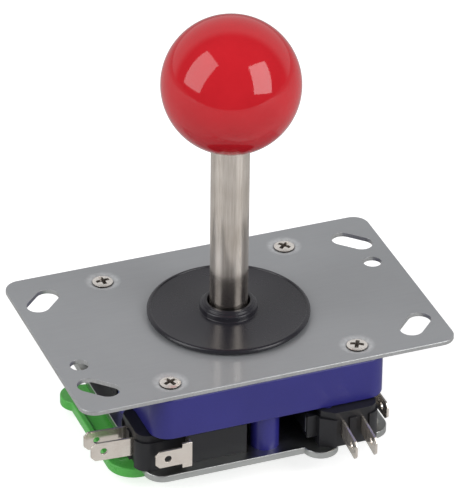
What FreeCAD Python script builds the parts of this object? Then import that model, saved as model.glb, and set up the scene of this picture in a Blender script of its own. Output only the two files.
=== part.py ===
"""Arcade joystick: ball-top lever on a steel fixing plate, with a ball pivot, four lever
microswitches in a pinwheel and a turning restrictor gate underneath.

Millimetres. The origin is on the shaft's axis, on the top face of the fixing plate. +Z runs up
the shaft, +X to the right along the plate's long side and +Y to the back.
"""
import FreeCAD, Part
import math
import os
import re
import Sketcher

# Driving dimensions, one named cell each
SIZES = {
    "plate_width": 100.0,
    "plate_depth": 64.0,
    "plate_offset_x": 0.2,
    "plate_offset_y": 0.75,
    "plate_thick": 1.2,
    "plate_corner": 4.2,
    "plate_edge_round": 0.4,
    "slot_width": 6.0,
    "slot_length": 11.2,
    "slot_inset_x": 7.5,
    "slot_inset_y": 10.8,
    "panel_hole_radius": 2.4,
    "panel_hole_inset": 6.4,
    "panel_hole_y": 10.0,
    "centre_hole_radius": 7.6,
    "screw_place": 25.0,
    "screw_shank_radius": 1.5,
    "screw_head_radius": 2.9,
    "screw_head_height": 0.8,
    "screw_length": 9.0,
    "screw_cross_width": 0.8,
    "screw_cross_span": 3.4,
    "screw_cross_depth": 0.7,
    "dimple_radius": 4.7,
    "dimple_depth": 0.35,
    "body_width": 62.4,
    "body_height": 11.8,
    "body_corner": 5.0,
    "body_edge_round": 0.8,
    "post_radius": 3.6,
    "post_place": 26.0,
    "pin_radius": 1.45,
    "pivot_depth": 7.0,
    "pivot_ball_radius": 6.2,
    "ball_fit": 0.2,
    "liner_thick": 0.8,
    "liner_top_angle": 62.0,
    "liner_bottom_angle": 48.0,
    "liner_slit": 0.8,
    "socket_mouth_bottom": 6.2,
    "socket_mouth_top": 6.9,
    "guide_washer_radius": 11.5,
    "guide_washer_thick": 0.6,
    "guide_washer_bore": 6.5,
    "guide_travel": 1.5,
    "seat_radius": 8.3,
    "seat_flange_radius": 10.2,
    "seat_flange_thick": 0.9,
    "seat_bore": 5.6,
    "shaft_radius": 4.9,
    "journal_radius": 3.5,
    "shaft_tail": 2.6,
    "stud_radius": 2.95,
    "stud_length": 14.0,
    "ball_top_radius": 17.5,
    "ball_top_height": 66.5,
    "ball_flat_radius": 5.6,
    "washer_radius": 20.8,
    "washer_thick": 1.75,
    "washer_rim_width": 1.1,
    "washer_groove": 0.25,
    "collar_radius": 7.35,
    "collar_height": 4.0,
    "collar_bore": 5.3,
    "collar_flare": 0.45,
    "crown_radius": 9.4,
    "crown_top_drop": 2.25,
    "crown_bottom_drop": 2.95,
    "cup_radius": 7.1,
    "cup_floor": 1.4,
    "spring_radius": 6.2,
    "spring_wire": 1.0,
    "spring_half_turns": 7,
    "clip_radius": 6.0,
    "clip_thick": 0.8,
    "clip_groove_depth": 0.7,
    "clip_web": 1.4,
    "clip_mouth": 4.6,
    "switch_length": 27.8,
    "switch_depth": 15.9,
    "switch_thick": 10.3,
    "switch_face": 12.3,
    "switch_end": 5.7,
    "switch_hole_inset": 2.8,
    "outer_pin_inset": 3.8,
    "cover_thick": 2.0,
    "cover_inset": 0.45,
    "nose_length": 1.1,
    "nose_round": 3.6,
    "nose_slant": 2.4,
    "nose_slant_width": 3.5,
    "channel_width": 3.4,
    "channel_depth": 0.7,
    "lever_arm": 28.5,
    "lever_thick": 0.4,
    "lever_width": 4.6,
    "lever_overhang": 4.3,
    "lever_gap": 0.3,
    "knuckle_radius": 0.8,
    "hinge_pin_radius": 0.5,
    "lug_width": 2.4,
    "lug_thick": 0.75,
    "lug_web": 0.8,
    "plunger_radius": 1.3,
    "plunger_arm": 10.5,
    "plunger_gap": 0.2,
    "plunger_length": 6.0,
    "plunger_room": 1.0,
    "tab_thick": 0.6,
    "tab_width": 5.2,
    "tab_reach": 11.6,
    "tab_root": 3.0,
    "tab_chamfer": 1.1,
    "tab_hole_radius": 0.9,
    "tab_hole_inset": 3.3,
    "tab_outer_inset": 5.0,
    "tab_inner_inset": 10.3,
    "tab_lean": 0.07,
    "common_place": 12.0,
    "common_reach": 3.4,
    "common_width": 4.8,
    "common_shoulder": 7.2,
    "common_shoulder_length": 2.6,
    "common_length": 9.7,
    "base_plate_width": 65.0,
    "base_plate_depth": 63.2,
    "base_plate_thick": 1.8,
    "base_plate_corner": 4.8,
    "ear_radius": 4.6,
    "ear_along": 13.2,
    "ear_out": 30.8,
    "hub_radius": 11.2,
    "hub_opening": 8.7,
    "hub_lip": 0.75,
    "hub_lip_height": 0.75,
    "gate_disc_radius": 16.5,
    "gate_thick": 2.7,
    "paddle_reach": 38.7,
    "paddle_front": 23.5,
    "paddle_back": 11.0,
    "paddle_corner": 7.0,
    "paddle_neck": 31.0,
    "tab_lobe_radius": 4.5,
    "tab_lobe_x": 35.9,
    "tab_lobe_y": 14.0,
    "dish_depth": 0.9,
    "dish_wall": 1.5,
    "fit": 0.05,
    "gap": 0.1,
}

# Derived heights, as formulas of the cells
PIVOT_Z = "(-pivot_depth)"
BODY_TOP = "(-plate_thick)"
BODY_BOTTOM = "(-plate_thick - body_height)"
SWITCH_BOTTOM = "(-plate_thick - body_height - switch_thick)"
SWITCH_MIDDLE = "(-plate_thick - body_height - switch_thick / 2)"
BASE_PLATE_BOTTOM = "(-plate_thick - body_height - switch_thick - base_plate_thick)"
GATE_TOP = f"({BASE_PLATE_BOTTOM} - 2 * gap)"
GATE_BOTTOM = f"({GATE_TOP} - gate_thick)"
SOCKET_RADIUS = "(pivot_ball_radius + 2 * ball_fit + liner_thick)"
SHOULDER_Z = "(sqrt(pivot_ball_radius * pivot_ball_radius - shaft_radius * shaft_radius) - pivot_depth)"
GUIDE_TOP = "(-plate_thick - gap)"
RECESS_DEPTH = "(guide_washer_thick + 3 * gap)"
CROWN_TOP = f"({SWITCH_MIDDLE} + crown_top_drop)"
CROWN_BOTTOM = f"({SWITCH_MIDDLE} - crown_bottom_drop)"
CLIP_TOP = f"({CROWN_BOTTOM} - fit)"
SHAFT_BOTTOM = f"({GATE_BOTTOM} - shaft_tail)"
BALL_FLAT = "(ball_top_height - sqrt(ball_top_radius * ball_top_radius - ball_flat_radius * ball_flat_radius))"

# Derived plan places of the fixing plate's openings
SLOT_X = "(plate_width / 2 - slot_inset_x)"
SLOT_Y = "(plate_depth / 2 - slot_inset_y)"
PANEL_HOLE_X = "(plate_width / 2 - panel_hole_inset)"

# Derived plan places of the front switch; the other three are quarter turns of it
CASE_LEFT = "(-switch_end - switch_length)"
CASE_RIGHT = "(-switch_end)"
CASE_FRONT = "(-switch_face - switch_depth)"
CASE_BACK = "(-switch_face)"
LEVER_FACE = "(-crown_radius - lever_gap)"
HINGE_X = "(-lever_arm)"
HINGE_Y = f"({LEVER_FACE} - knuckle_radius)"
PLUNGER_X = "(plunger_arm - lever_arm)"
PLUNGER_TIP = f"({LEVER_FACE} - lever_thick - plunger_gap)"
COMMON_X = f"({CASE_LEFT} + common_place)"
NOSE = f"({CASE_LEFT} - nose_length)"
OUTER_PIN_X = f"({CASE_LEFT} + outer_pin_inset)"

SIDES = {"front": 0, "right": 90, "back": 180, "left": 270}
Z_AXIS = FreeCAD.Vector(0, 0, 1)

doc = FreeCAD.newDocument("ArcadeJoystick")
sheet = doc.addObject("Spreadsheet::Sheet", "Sizes")
for row, (alias, size) in enumerate(SIZES.items(), start=1):
    sheet.set(f"A{row}", alias)
    sheet.set(f"B{row}", str(size))
    sheet.setAlias(f"B{row}", alias)
doc.recompute()

nodes = []


def bound(text):
    """The formula with every size's name turned into its cell in the sheet."""
    return re.sub(r"\b(?!sqrt\b|sin\b|cos\b|atan\b|deg\b)([a-z][a-z_]*)\b", r"Sizes.\1", text)


def value(text):
    """The formula's present number."""
    return float(sheet.evalExpression(bound(text)))


def tie(item, **formulas):
    """Bind properties of one object; a double underscore in a name stands for a dot."""
    for name, text in formulas.items():
        item.setExpression(name.replace("__", "."), bound(text))
    return item


def node(item, label, turn=0):
    """Name a finished piece, turn it about the shaft's axis and list it for writing."""
    if turn:
        item.Placement = FreeCAD.Placement(FreeCAD.Vector(), FreeCAD.Rotation(Z_AXIS, turn))
    item.Label = label
    nodes.append(item)
    return item


# Part primitives and booleans

def box(name, x, y, z, length, width, height):
    """A block from its low corner."""
    return tie(doc.addObject("Part::Box", name), Length=length, Width=width, Height=height,
               Placement__Base__x=x, Placement__Base__y=y, Placement__Base__z=z)


def cylinder(name, radius, height, z, x="0 * gap", y="0 * gap"):
    """An upright cylinder from its lower end."""
    return tie(doc.addObject("Part::Cylinder", name), Radius=radius, Height=height,
               Placement__Base__x=x, Placement__Base__y=y, Placement__Base__z=z)


def cone(name, lower, upper, height, z):
    """An upright cone on the shaft's axis from its lower end."""
    return tie(doc.addObject("Part::Cone", name), Radius1=lower, Radius2=upper, Height=height,
               Placement__Base__z=z)


def sphere(name, radius, z):
    """A sphere on the shaft's axis."""
    return tie(doc.addObject("Part::Sphere", name), Radius=radius, Placement__Base__z=z)


def cut(name, base, *tools):
    """The base less every tool in turn."""
    for number, tool in enumerate(tools):
        piece = doc.addObject("Part::Cut", f"{name}_{number}")
        piece.Base, piece.Tool = base, tool
        base = piece
    return base


def common(name, first, second):
    """What two shapes share."""
    piece = doc.addObject("Part::MultiCommon", name)
    piece.Shapes = [first, second]
    return piece


def fuse(name, *shapes):
    """Several shapes as one."""
    piece = doc.addObject("Part::MultiFuse", name)
    piece.Shapes = list(shapes)
    return piece


# Sketches and the features made from them

class Outline:
    """A fully dimensioned sketch on one of a body's own origin planes."""

    def __init__(self, body, name, lift=None, role="XY_Plane"):
        self.sketch = body.newObject("Sketcher::SketchObject", name)
        plane = next(item for item in body.Origin.OriginFeatures if item.Role == role)
        self.sketch.AttachmentSupport = [(plane, "")]
        self.sketch.MapMode = "FlatFace"
        if lift:
            tie(self.sketch, AttachmentOffset__Base__z=lift)

    def limit(self, kind, where, text):
        """One dimension, bound to its formula."""
        index = self.sketch.addConstraint(Sketcher.Constraint(kind, *where, value(text)))
        self.sketch.setExpression(f"Constraints[{index}]", bound(text))

    def place(self, element, point, x, y):
        """Put a point of an element at x, y from the sketch's origin."""
        self.limit("DistanceX", (-1, 1, element, point), x)
        self.limit("DistanceY", (-1, 1, element, point), y)

    def circle(self, x, y, radius):
        """A full circle."""
        centre = FreeCAD.Vector(value(x), value(y), 0)
        element = self.sketch.addGeometry(Part.Circle(centre, Z_AXIS, value(radius)), False)
        self.limit("Radius", (element,), radius)
        self.place(element, 3, x, y)
        return self

    def polygon(self, *corners):
        """A closed outline of straight lines through its corners."""
        spots = [FreeCAD.Vector(value(x), value(y), 0) for x, y in corners]
        lines = [Part.LineSegment(spot, spots[(number + 1) % len(spots)])
                 for number, spot in enumerate(spots)]
        elements = self.sketch.addGeometry(lines, False)
        for number, element in enumerate(elements):
            following = elements[(number + 1) % len(elements)]
            self.sketch.addConstraint(Sketcher.Constraint("Coincident", element, 2, following, 1))
            self.place(element, 1, *corners[number])
        return self

    def rectangle(self, left, front, right, back):
        """An upright rectangle from its sides."""
        return self.polygon((left, front), (right, front), (right, back), (left, back))

    def slot(self, start, end, radius):
        """A round-ended slot between two end centres."""
        first, second = (FreeCAD.Vector(value(x), value(y), 0) for x, y in (start, end))
        heading = math.atan2(second.y - first.y, second.x - first.x)
        size = value(radius)
        side = FreeCAD.Vector(-math.sin(heading), math.cos(heading), 0) * size
        quarter = math.pi / 2
        caps = [(first, heading + quarter, heading + 3 * quarter),
                (second, heading - quarter, heading + quarter)]
        arcs = [Part.ArcOfCircle(Part.Circle(centre, Z_AXIS, size), low, high)
                for centre, low, high in caps]
        lines = [Part.LineSegment(first - side, second - side),
                 Part.LineSegment(second + side, first + side)]
        near, far, lower, upper = self.sketch.addGeometry(arcs + lines, False)
        for one, end_one, two, end_two in ((near, 2, lower, 1), (lower, 2, far, 1),
                                           (far, 2, upper, 1), (upper, 2, near, 1)):
            self.sketch.addConstraint(Sketcher.Constraint("Tangent", one, end_one, two, end_two))
        self.limit("Radius", (near,), radius)
        self.place(near, 3, *start)
        self.place(far, 3, *end)
        return self


def new_body(name):
    """An empty body that may hold several solids."""
    body = doc.addObject("PartDesign::Body", name)
    body.AllowCompound = True
    return body


def pad(body, name, outline, length, downwards=False):
    """Raise an outline into a solid."""
    feature = body.newObject("PartDesign::Pad", name)
    feature.Profile = outline.sketch
    feature.Reversed = downwards
    tie(feature, Length=length)
    doc.recompute()
    return feature


def pocket(body, name, outline, length, upwards=False):
    """Sink an outline into the solid, and make sure that it took something away."""
    before = body.Shape.Volume
    feature = body.newObject("PartDesign::Pocket", name)
    feature.Profile = outline.sketch
    feature.Reversed = upwards
    tie(feature, Length=length)
    doc.recompute()
    if not body.Shape.Volume < before:
        raise RuntimeError(f"{name} removed nothing")
    return feature


def quarter_copies(body, feature, outline):
    """Repeat a feature at every quarter turn about the shaft's axis."""
    pattern = body.newObject("PartDesign::PolarPattern", feature.Name + "Pattern")
    pattern.Originals = [feature]
    pattern.Axis = (outline.sketch, ["N_Axis"])
    pattern.Occurrences = 4
    pattern.Angle = 360
    body.Tip = pattern
    doc.recompute()
    return pattern


def drill(body, name, radius, depth, x, y, lift):
    """A round hole downwards from a height."""
    return pocket(body, name, Outline(body, name + "Sketch", lift).circle(x, y, radius), depth)


def countersink(body, name, lower, upper, height, x, y, lift):
    """A conical sinking that starts at a height and widens upwards."""
    feature = body.newObject("PartDesign::SubtractiveCone", name)
    plane = next(item for item in body.Origin.OriginFeatures if item.Role == "XY_Plane")
    feature.AttachmentSupport = [(plane, "")]
    feature.MapMode = "FlatFace"
    tie(feature, Radius1=lower, Radius2=upper, Height=height, AttachmentOffset__Base__x=x,
        AttachmentOffset__Base__y=y, AttachmentOffset__Base__z=lift)
    doc.recompute()
    return feature


def revolve(body, name, *corners):
    """Turn a closed half profile of (radius, height) corners about the shaft's axis."""
    outline = Outline(body, name + "Sketch", role="XZ_Plane").polygon(*corners)
    feature = body.newObject("PartDesign::Revolution", name)
    feature.Profile = outline.sketch
    feature.ReferenceAxis = (outline.sketch, ["V_Axis"])
    feature.Angle = 360
    doc.recompute()
    return feature


def round_edges(body, name, size, chosen, kind="Fillet"):
    """Round or chamfer the edges that a test picks from the body's present shape."""
    base = body.Tip
    names = [f"Edge{number}" for number, edge in enumerate(base.Shape.Edges, start=1) if chosen(edge)]
    if not names:
        raise RuntimeError(f"{name} found no edge")
    feature = body.newObject("PartDesign::" + kind, name)
    feature.Base = (base, names)
    tie(feature, **{"Radius" if kind == "Fillet" else "Size": size})
    doc.recompute()
    return feature


def is_upright(edge):
    """True for a straight edge along Z."""
    low, high = edge.Vertexes[0].Point, edge.Vertexes[-1].Point
    return edge.Curve.TypeId == "Part::GeomLine" and abs((high - low).normalize().z) > 0.999


def lies_at(height):
    """A test for edges that lie flat at one height."""
    level = value(height)
    return lambda edge: abs(edge.BoundBox.ZMin - level) < 1e-4 and abs(edge.BoundBox.ZMax - level) < 1e-4


def outer_rim(height, reach):
    """A test for flat edges at one height that run at least as far out as a distance."""
    flat, limit = lies_at(height), value(reach)

    def chosen(edge):
        frame = edge.BoundBox
        return flat(edge) and max(abs(frame.XMin), abs(frame.XMax), abs(frame.YMin), abs(frame.YMax)) > limit
    return chosen


# Fixing plate, the dress pieces above it and their screws

def mounting_plate():
    """Zinc-plated steel sheet with four slanted slots, two round holes and four dimpled screws."""
    body = new_body("MountingPlate")
    outline = Outline(body, "PlateOutline", BODY_TOP)
    outline.rectangle("plate_offset_x - plate_width / 2", "plate_offset_y - plate_depth / 2",
                      "plate_offset_x + plate_width / 2", "plate_offset_y + plate_depth / 2")
    pad(body, "PlateSheet", outline, "plate_thick")
    round_edges(body, "PlateCorners", "plate_corner", is_upright)
    round_edges(body, "PlateRolledEdge", "plate_edge_round", lies_at("0 * gap"))
    half_run = "((slot_length - slot_width) / 2 * sqrt(0.5))"
    slots = Outline(body, "PlateSlots")
    for side_x, side_y in ((1, 1), (1, -1), (-1, 1), (-1, -1)):
        slant = -side_x * side_y
        x, y = f"{side_x} * {SLOT_X}", f"{side_y} * {SLOT_Y}"
        slots.slot((f"{x} - {half_run}", f"{y} - {slant} * {half_run}"),
                   (f"{x} + {half_run}", f"{y} + {slant} * {half_run}"), "slot_width / 2")
    pocket(body, "PlateSlotCut", slots, "plate_thick")
    holes = Outline(body, "PlateHoles").circle("0 * gap", "0 * gap", "centre_hole_radius")
    holes.circle(PANEL_HOLE_X, "panel_hole_y", "panel_hole_radius")
    holes.circle(f"-{PANEL_HOLE_X}", "-panel_hole_y", "panel_hole_radius")
    pocket(body, "PlateHoleCut", holes, "plate_thick")
    pilot = Outline(body, "PlateScrewHole").circle("screw_place", "screw_place", "screw_shank_radius + 2 * gap")
    quarter_copies(body, pocket(body, "PlateScrewCut", pilot, "plate_thick"), pilot)
    sink = countersink(body, "PlateCountersink", "screw_shank_radius + gap", "screw_head_radius + gap",
                       "screw_head_height", "screw_place", "screw_place", "-dimple_depth - screw_head_height")
    quarter_copies(body, sink, pilot)
    dimple = countersink(body, "PlateDimple", "screw_head_radius + gap", "dimple_radius",
                         "dimple_depth", "screw_place", "screw_place", "-dimple_depth")
    quarter_copies(body, dimple, pilot)
    return node(body, "mounting_plate")


def screw(name, top, length, turned):
    """One countersunk cross-head screw whose head's flat face is at a height; turned has it head down."""
    body = new_body(name)
    sign = "-1" if turned else "1"
    level = [f"{top} - {sign} * {drop}" for drop in ("0.25 * gap", "screw_head_height", f"({length})")]
    revolve(body, name + "Turning", ("0 * gap", level[2]), ("0.6 * screw_shank_radius", level[2]),
            ("screw_shank_radius", f"{level[2]} + {sign} * screw_shank_radius"),
            ("screw_shank_radius", level[1]), ("screw_head_radius", level[0]), ("0 * gap", level[0]))
    arm, half = "(screw_cross_span / 2)", "(screw_cross_width / 2)"
    cross = Outline(body, name + "Cross", level[0])
    cross.polygon((f"-{half}", f"-{arm}"), (half, f"-{arm}"), (half, f"-{half}"), (arm, f"-{half}"),
                  (arm, half), (half, half), (half, arm), (f"-{half}", arm), (f"-{half}", half),
                  (f"-{arm}", half), (f"-{arm}", f"-{half}"), (f"-{half}", f"-{half}"))
    pocket(body, name + "Recess", cross, "screw_cross_depth", upwards=turned)
    return body


def screw_set(label, top, length, turned, spots):
    """Four like screws as one group of separate solids."""
    pattern = screw(label.title().replace("_", ""), top, length, turned)
    copies = []
    for number, (x, y) in enumerate(spots):
        copy = doc.addObject("Part::Compound", f"{label}_{number}")
        copy.Links = [pattern]
        copies.append(tie(copy, Placement__Base__x=x, Placement__Base__y=y))
    group = doc.addObject("Part::Compound", label)
    group.Links = copies
    return node(group, label)


def dust_washer():
    """Black washer that slides on the plate with the shaft, with a low collar and a rounded rim."""
    body = new_body("DustWasher")
    rim, step = "(washer_radius - washer_rim_width)", "(washer_thick - washer_groove)"
    revolve(body, "WasherTurning",
            ("collar_bore + collar_flare", "gap"),
            ("washer_radius - 0.9 * washer_rim_width", "gap"),
            ("washer_radius - 0.2 * washer_rim_width", "gap + 0.25 * washer_thick"),
            ("washer_radius", "gap + 0.45 * washer_thick"),
            ("washer_radius", "0.75 * washer_thick"),
            (f"{rim} + 0.6 * washer_rim_width", "washer_thick"),
            (f"{rim} + 0.15 * washer_rim_width", "washer_thick"),
            (rim, step),
            ("collar_radius + 0.35 * collar_flare", step),
            ("collar_radius", "collar_height - 1.2 * collar_flare"),
            ("collar_radius - collar_flare", "collar_height - 0.5 * collar_flare"),
            ("collar_radius - 1.6 * collar_flare", "collar_height - 0.5 * collar_flare"),
            ("collar_radius - 1.9 * collar_flare", "collar_height"),
            ("collar_bore + collar_flare", "collar_height"),
            ("collar_bore", "collar_height / 2 + collar_flare"),
            ("collar_bore", "collar_height / 2 - collar_flare"))
    return node(body, "dust_washer")


def guide_washer():
    """Thin nylon washer between the plate and the body, which carries the dust washer along."""
    body = new_body("GuideWasher")
    outline = Outline(body, "GuideOutline", f"{GUIDE_TOP} - guide_washer_thick")
    outline.circle("0 * gap", "0 * gap", "guide_washer_radius")
    outline.circle("0 * gap", "0 * gap", "guide_washer_bore")
    pad(body, "GuideDisc", outline, "guide_washer_thick")
    return node(body, "guide_washer")


# Body with the ball pivot

def body_housing():
    """Moulded body: square block with the pivot's socket, screw bosses, four posts and switch pins."""
    body = new_body("BodyHousing")
    half = "(body_width / 2)"
    outline = Outline(body, "BodyOutline", BODY_BOTTOM)
    outline.rectangle("-" + half, "-" + half, half, half)
    pad(body, "BodyBlock", outline, "body_height")
    round_edges(body, "BodyCorners", "body_corner", is_upright)
    round_edges(body, "BodyTopEdge", "body_edge_round", lies_at(BODY_TOP))
    round_edges(body, "BodyBottomEdge", "0.7 * body_edge_round", lies_at(BODY_BOTTOM))
    posts = Outline(body, "PostOutline", BODY_BOTTOM)
    posts.circle("0 * gap", "-post_place", "post_radius")
    quarter_copies(body, pad(body, "Posts", posts, "switch_thick", downwards=True), posts)
    pins = Outline(body, "PinOutline", BODY_BOTTOM)
    pins.circle(OUTER_PIN_X, f"{CASE_BACK} - switch_hole_inset", "pin_radius")
    pins.circle(f"{CASE_RIGHT} - switch_hole_inset", f"{CASE_FRONT} + switch_hole_inset", "pin_radius")
    pin_pad = pad(body, "SwitchPins", pins, "switch_thick + base_plate_thick", downwards=True)
    quarter_copies(body, pin_pad, pins)
    drill(body, "GuideRecess", "guide_washer_radius + guide_travel + 3 * gap", RECESS_DEPTH,
          "0 * gap", "0 * gap", BODY_TOP)
    cavity = Outline(body, "SeatBore", BODY_BOTTOM).circle("0 * gap", "0 * gap", "seat_radius + fit")
    pocket(body, "SeatBoreCut", cavity, f"{PIVOT_Z} - {BODY_BOTTOM} - gap", upwards=True)
    flange = Outline(body, "FlangeBore", BODY_BOTTOM).circle("0 * gap", "0 * gap", "seat_flange_radius + gap")
    pocket(body, "FlangeBoreCut", flange, "seat_flange_thick + fit", upwards=True)
    socket = body.newObject("PartDesign::SubtractiveSphere", "Socket")
    plane = next(item for item in body.Origin.OriginFeatures if item.Role == "XY_Plane")
    socket.AttachmentSupport = [(plane, "")]
    socket.MapMode = "FlatFace"
    tie(socket, Radius=SOCKET_RADIUS, AttachmentOffset__Base__z=PIVOT_Z)
    doc.recompute()
    mouth = f"({PIVOT_Z} + sqrt({SOCKET_RADIUS} * {SOCKET_RADIUS} - socket_mouth_bottom * socket_mouth_bottom))"
    countersink(body, "SocketMouth", "socket_mouth_bottom", "socket_mouth_top", f"{BODY_TOP} - {mouth}",
                "0 * gap", "0 * gap", mouth)
    bosses = Outline(body, "ScrewHole", BODY_TOP)
    bosses.circle("screw_place", "screw_place", "screw_shank_radius + fit")
    quarter_copies(body, pocket(body, "ScrewHoleCut", bosses, "screw_length"), bosses)
    feet = Outline(body, "PostHole", SWITCH_BOTTOM)
    feet.circle("0 * gap", "-post_place", "screw_shank_radius + fit")
    quarter_copies(body, pocket(body, "PostHoleCut", feet, "screw_length", upwards=True), feet)
    return node(body, "body_housing")


def pivot_ball():
    """Nylon ball pressed on the shaft's journal under its shoulder."""
    round_ball = sphere("PivotSphere", "pivot_ball_radius", PIVOT_Z)
    bottom = f"{PIVOT_Z} - sqrt(pivot_ball_radius * pivot_ball_radius - 1.3 * journal_radius * journal_radius)"
    band = cylinder("PivotBand", "2 * pivot_ball_radius", f"{SHOULDER_Z} - ({bottom})", bottom)
    bore = cylinder("PivotBore", "journal_radius + fit", "3 * pivot_ball_radius",
                    f"{PIVOT_Z} - 1.5 * pivot_ball_radius")
    return node(cut("PivotBall", common("PivotBallBand", round_ball, band), bore), "pivot_ball")


def pivot_liner():
    """Thin split liner between the ball and its socket."""
    outer = "(pivot_ball_radius + ball_fit + liner_thick)"
    shell = cut("LinerShell", sphere("LinerOuter", outer, PIVOT_Z),
                sphere("LinerInner", "pivot_ball_radius + ball_fit", PIVOT_Z))
    reach = "(2 * pivot_ball_radius)"
    top = cone("LinerTop", "0 * gap", f"2 * {reach} * sin(liner_top_angle * 1 deg)",
               f"2 * {reach} * cos(liner_top_angle * 1 deg)", PIVOT_Z)
    bottom = cone("LinerBottom", f"{reach} * sin(liner_bottom_angle * 1 deg)", "0 * gap",
                  f"{reach} * cos(liner_bottom_angle * 1 deg)",
                  f"{PIVOT_Z} - {reach} * cos(liner_bottom_angle * 1 deg)")
    slit = box("LinerSlit", "0 * gap", "-liner_slit / 2", f"{PIVOT_Z} - {reach}", reach, "liner_slit",
               f"2 * {reach}")
    return node(cut("PivotLiner", shell, top, bottom, slit), "pivot_liner")


def spring_seat():
    """Flanged cup that closes the socket from below and carries the spring's upper end."""
    barrel = cylinder("SeatBarrel", "seat_radius", f"{PIVOT_Z} - {BODY_BOTTOM} - 2 * gap", BODY_BOTTOM)
    flange = cylinder("SeatFlange", "seat_flange_radius", "seat_flange_thick", BODY_BOTTOM)
    hollow = sphere("SeatHollow", SOCKET_RADIUS, PIVOT_Z)
    bore = cylinder("SeatBoreTool", "seat_bore", "body_height", f"{BODY_BOTTOM} - gap")
    return node(cut("SpringSeat", fuse("SeatSolid", barrel, flange), hollow, bore), "spring_seat")


# Stick: shaft, ball top, clip, spring and the crowned actuator

def shaft():
    """Turned steel shaft: threaded end for the ball top, thick stem, thin journal and clip groove."""
    body = new_body("Shaft")
    groove_top, groove_bottom = f"({CLIP_TOP} + fit)", f"({CLIP_TOP} - clip_thick - fit)"
    core = "(journal_radius - clip_groove_depth)"
    revolve(body, "ShaftTurning",
            ("0 * gap", SHAFT_BOTTOM),
            ("journal_radius - 0.6", SHAFT_BOTTOM),
            ("journal_radius", f"{SHAFT_BOTTOM} + 0.6"),
            ("journal_radius", groove_bottom),
            (core, groove_bottom),
            (core, groove_top),
            ("journal_radius", groove_top),
            ("journal_radius", SHOULDER_Z),
            ("shaft_radius", SHOULDER_Z),
            ("shaft_radius", BALL_FLAT),
            ("stud_radius", BALL_FLAT),
            ("stud_radius", f"{BALL_FLAT} + stud_length - 0.6"),
            ("stud_radius - 0.6", f"{BALL_FLAT} + stud_length"),
            ("0 * gap", f"{BALL_FLAT} + stud_length"))
    slot = Outline(body, "ScrewdriverSlot", SHAFT_BOTTOM)
    slot.rectangle("-journal_radius - gap", "-0.6", "journal_radius + gap", "0.6")
    pocket(body, "ScrewdriverSlotCut", slot, "shaft_tail / 2", upwards=True)
    return node(body, "shaft")


def ball_top():
    """Glossy plastic ball with a flat and a blind threaded hole underneath."""
    ball = sphere("BallSphere", "ball_top_radius", "ball_top_height")
    below = cylinder("BallFlatTool", "ball_top_radius", "ball_top_radius", f"{BALL_FLAT} - ball_top_radius")
    hole = cylinder("BallHoleTool", "stud_radius + fit", "stud_length + 10 * gap", BALL_FLAT)
    return node(cut("BallTop", ball, below, hole), "ball_top")


def actuator():
    """Crowned cup under the body that pushes the switch levers and holds the spring."""
    crown = sphere("CrownSphere", "crown_radius", SWITCH_MIDDLE)
    band = cylinder("CrownBand", "2 * crown_radius", f"{CROWN_TOP} - {CROWN_BOTTOM}", CROWN_BOTTOM)
    cup = cylinder("CrownCup", "cup_radius", "crown_radius", f"{CROWN_BOTTOM} + cup_floor")
    bore = cylinder("CrownBore", "journal_radius + fit", "2 * crown_radius", f"{CROWN_BOTTOM} - gap")
    return node(cut("Actuator", common("CrownSlab", crown, band), cup, bore), "actuator")


def return_spring():
    """Centring coil spring between its seat and the actuator's floor, as flat half turns that tilt to meet."""
    low = f"({CROWN_BOTTOM} + cup_floor + spring_wire / 2 + fit)"
    rise = f"(({BODY_BOTTOM} - spring_wire / 2 - fit - {low}) / spring_half_turns)"
    tilt = f"atan({rise} / (2 * spring_radius))"
    half_turn = doc.addObject("Part::Torus", "SpringHalfTurn")
    half_turn.Placement.Rotation = FreeCAD.Rotation(FreeCAD.Vector(0, 1, 0), 1)
    half_turn.Angle3 = 180
    tie(half_turn, Radius1=f"spring_radius / cos({tilt})", Radius2="spring_wire / 2",
        Placement__Rotation__Angle=tilt)
    turns = []
    for number in range(round(value("spring_half_turns"))):
        copy = doc.addObject("Part::Compound", f"SpringTurn_{number}")
        copy.Links = [half_turn]
        copy.Placement.Rotation = FreeCAD.Rotation(Z_AXIS, 180 * number)
        turns.append(tie(copy, Placement__Base__z=f"{low} + {number + 0.5} * {rise}"))
    return node(fuse("ReturnSpring", *turns), "return_spring")


def e_clip():
    """Spring-steel clip in the shaft's groove under the actuator."""
    low = f"({CLIP_TOP} - clip_thick)"
    disc = cylinder("ClipDisc", "clip_radius", "clip_thick", low)
    inner = cylinder("ClipInner", "clip_radius - clip_web", "3 * clip_thick", f"{low} - clip_thick")
    ring = cut("ClipRing", disc, inner)
    grip = "(journal_radius - clip_groove_depth + fit)"
    tooth_width, tooth_reach = "clip_web", "(clip_radius - clip_web / 2)"
    back = box("ClipBackTooth", "-clip_web / 2", "0 * gap", low, tooth_width, tooth_reach, "clip_thick")
    left = box("ClipLeftTooth", f"-{tooth_reach}", "-clip_web / 2", low, tooth_reach, tooth_width, "clip_thick")
    right = box("ClipRightTooth", "0 * gap", "-clip_web / 2", low, tooth_reach, tooth_width, "clip_thick")
    solid = fuse("ClipSolid", ring, back, left, right)
    seat = cylinder("ClipSeat", grip, "3 * clip_thick", f"{low} - clip_thick")
    mouth = box("ClipMouth", "-clip_mouth / 2", "-2 * clip_radius", f"{low} - clip_thick", "clip_mouth",
                "2 * clip_radius - clip_web", "3 * clip_thick")
    return node(cut("EClip", solid, seat, mouth), "e_clip")


# Base plate and restrictor gate

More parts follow.
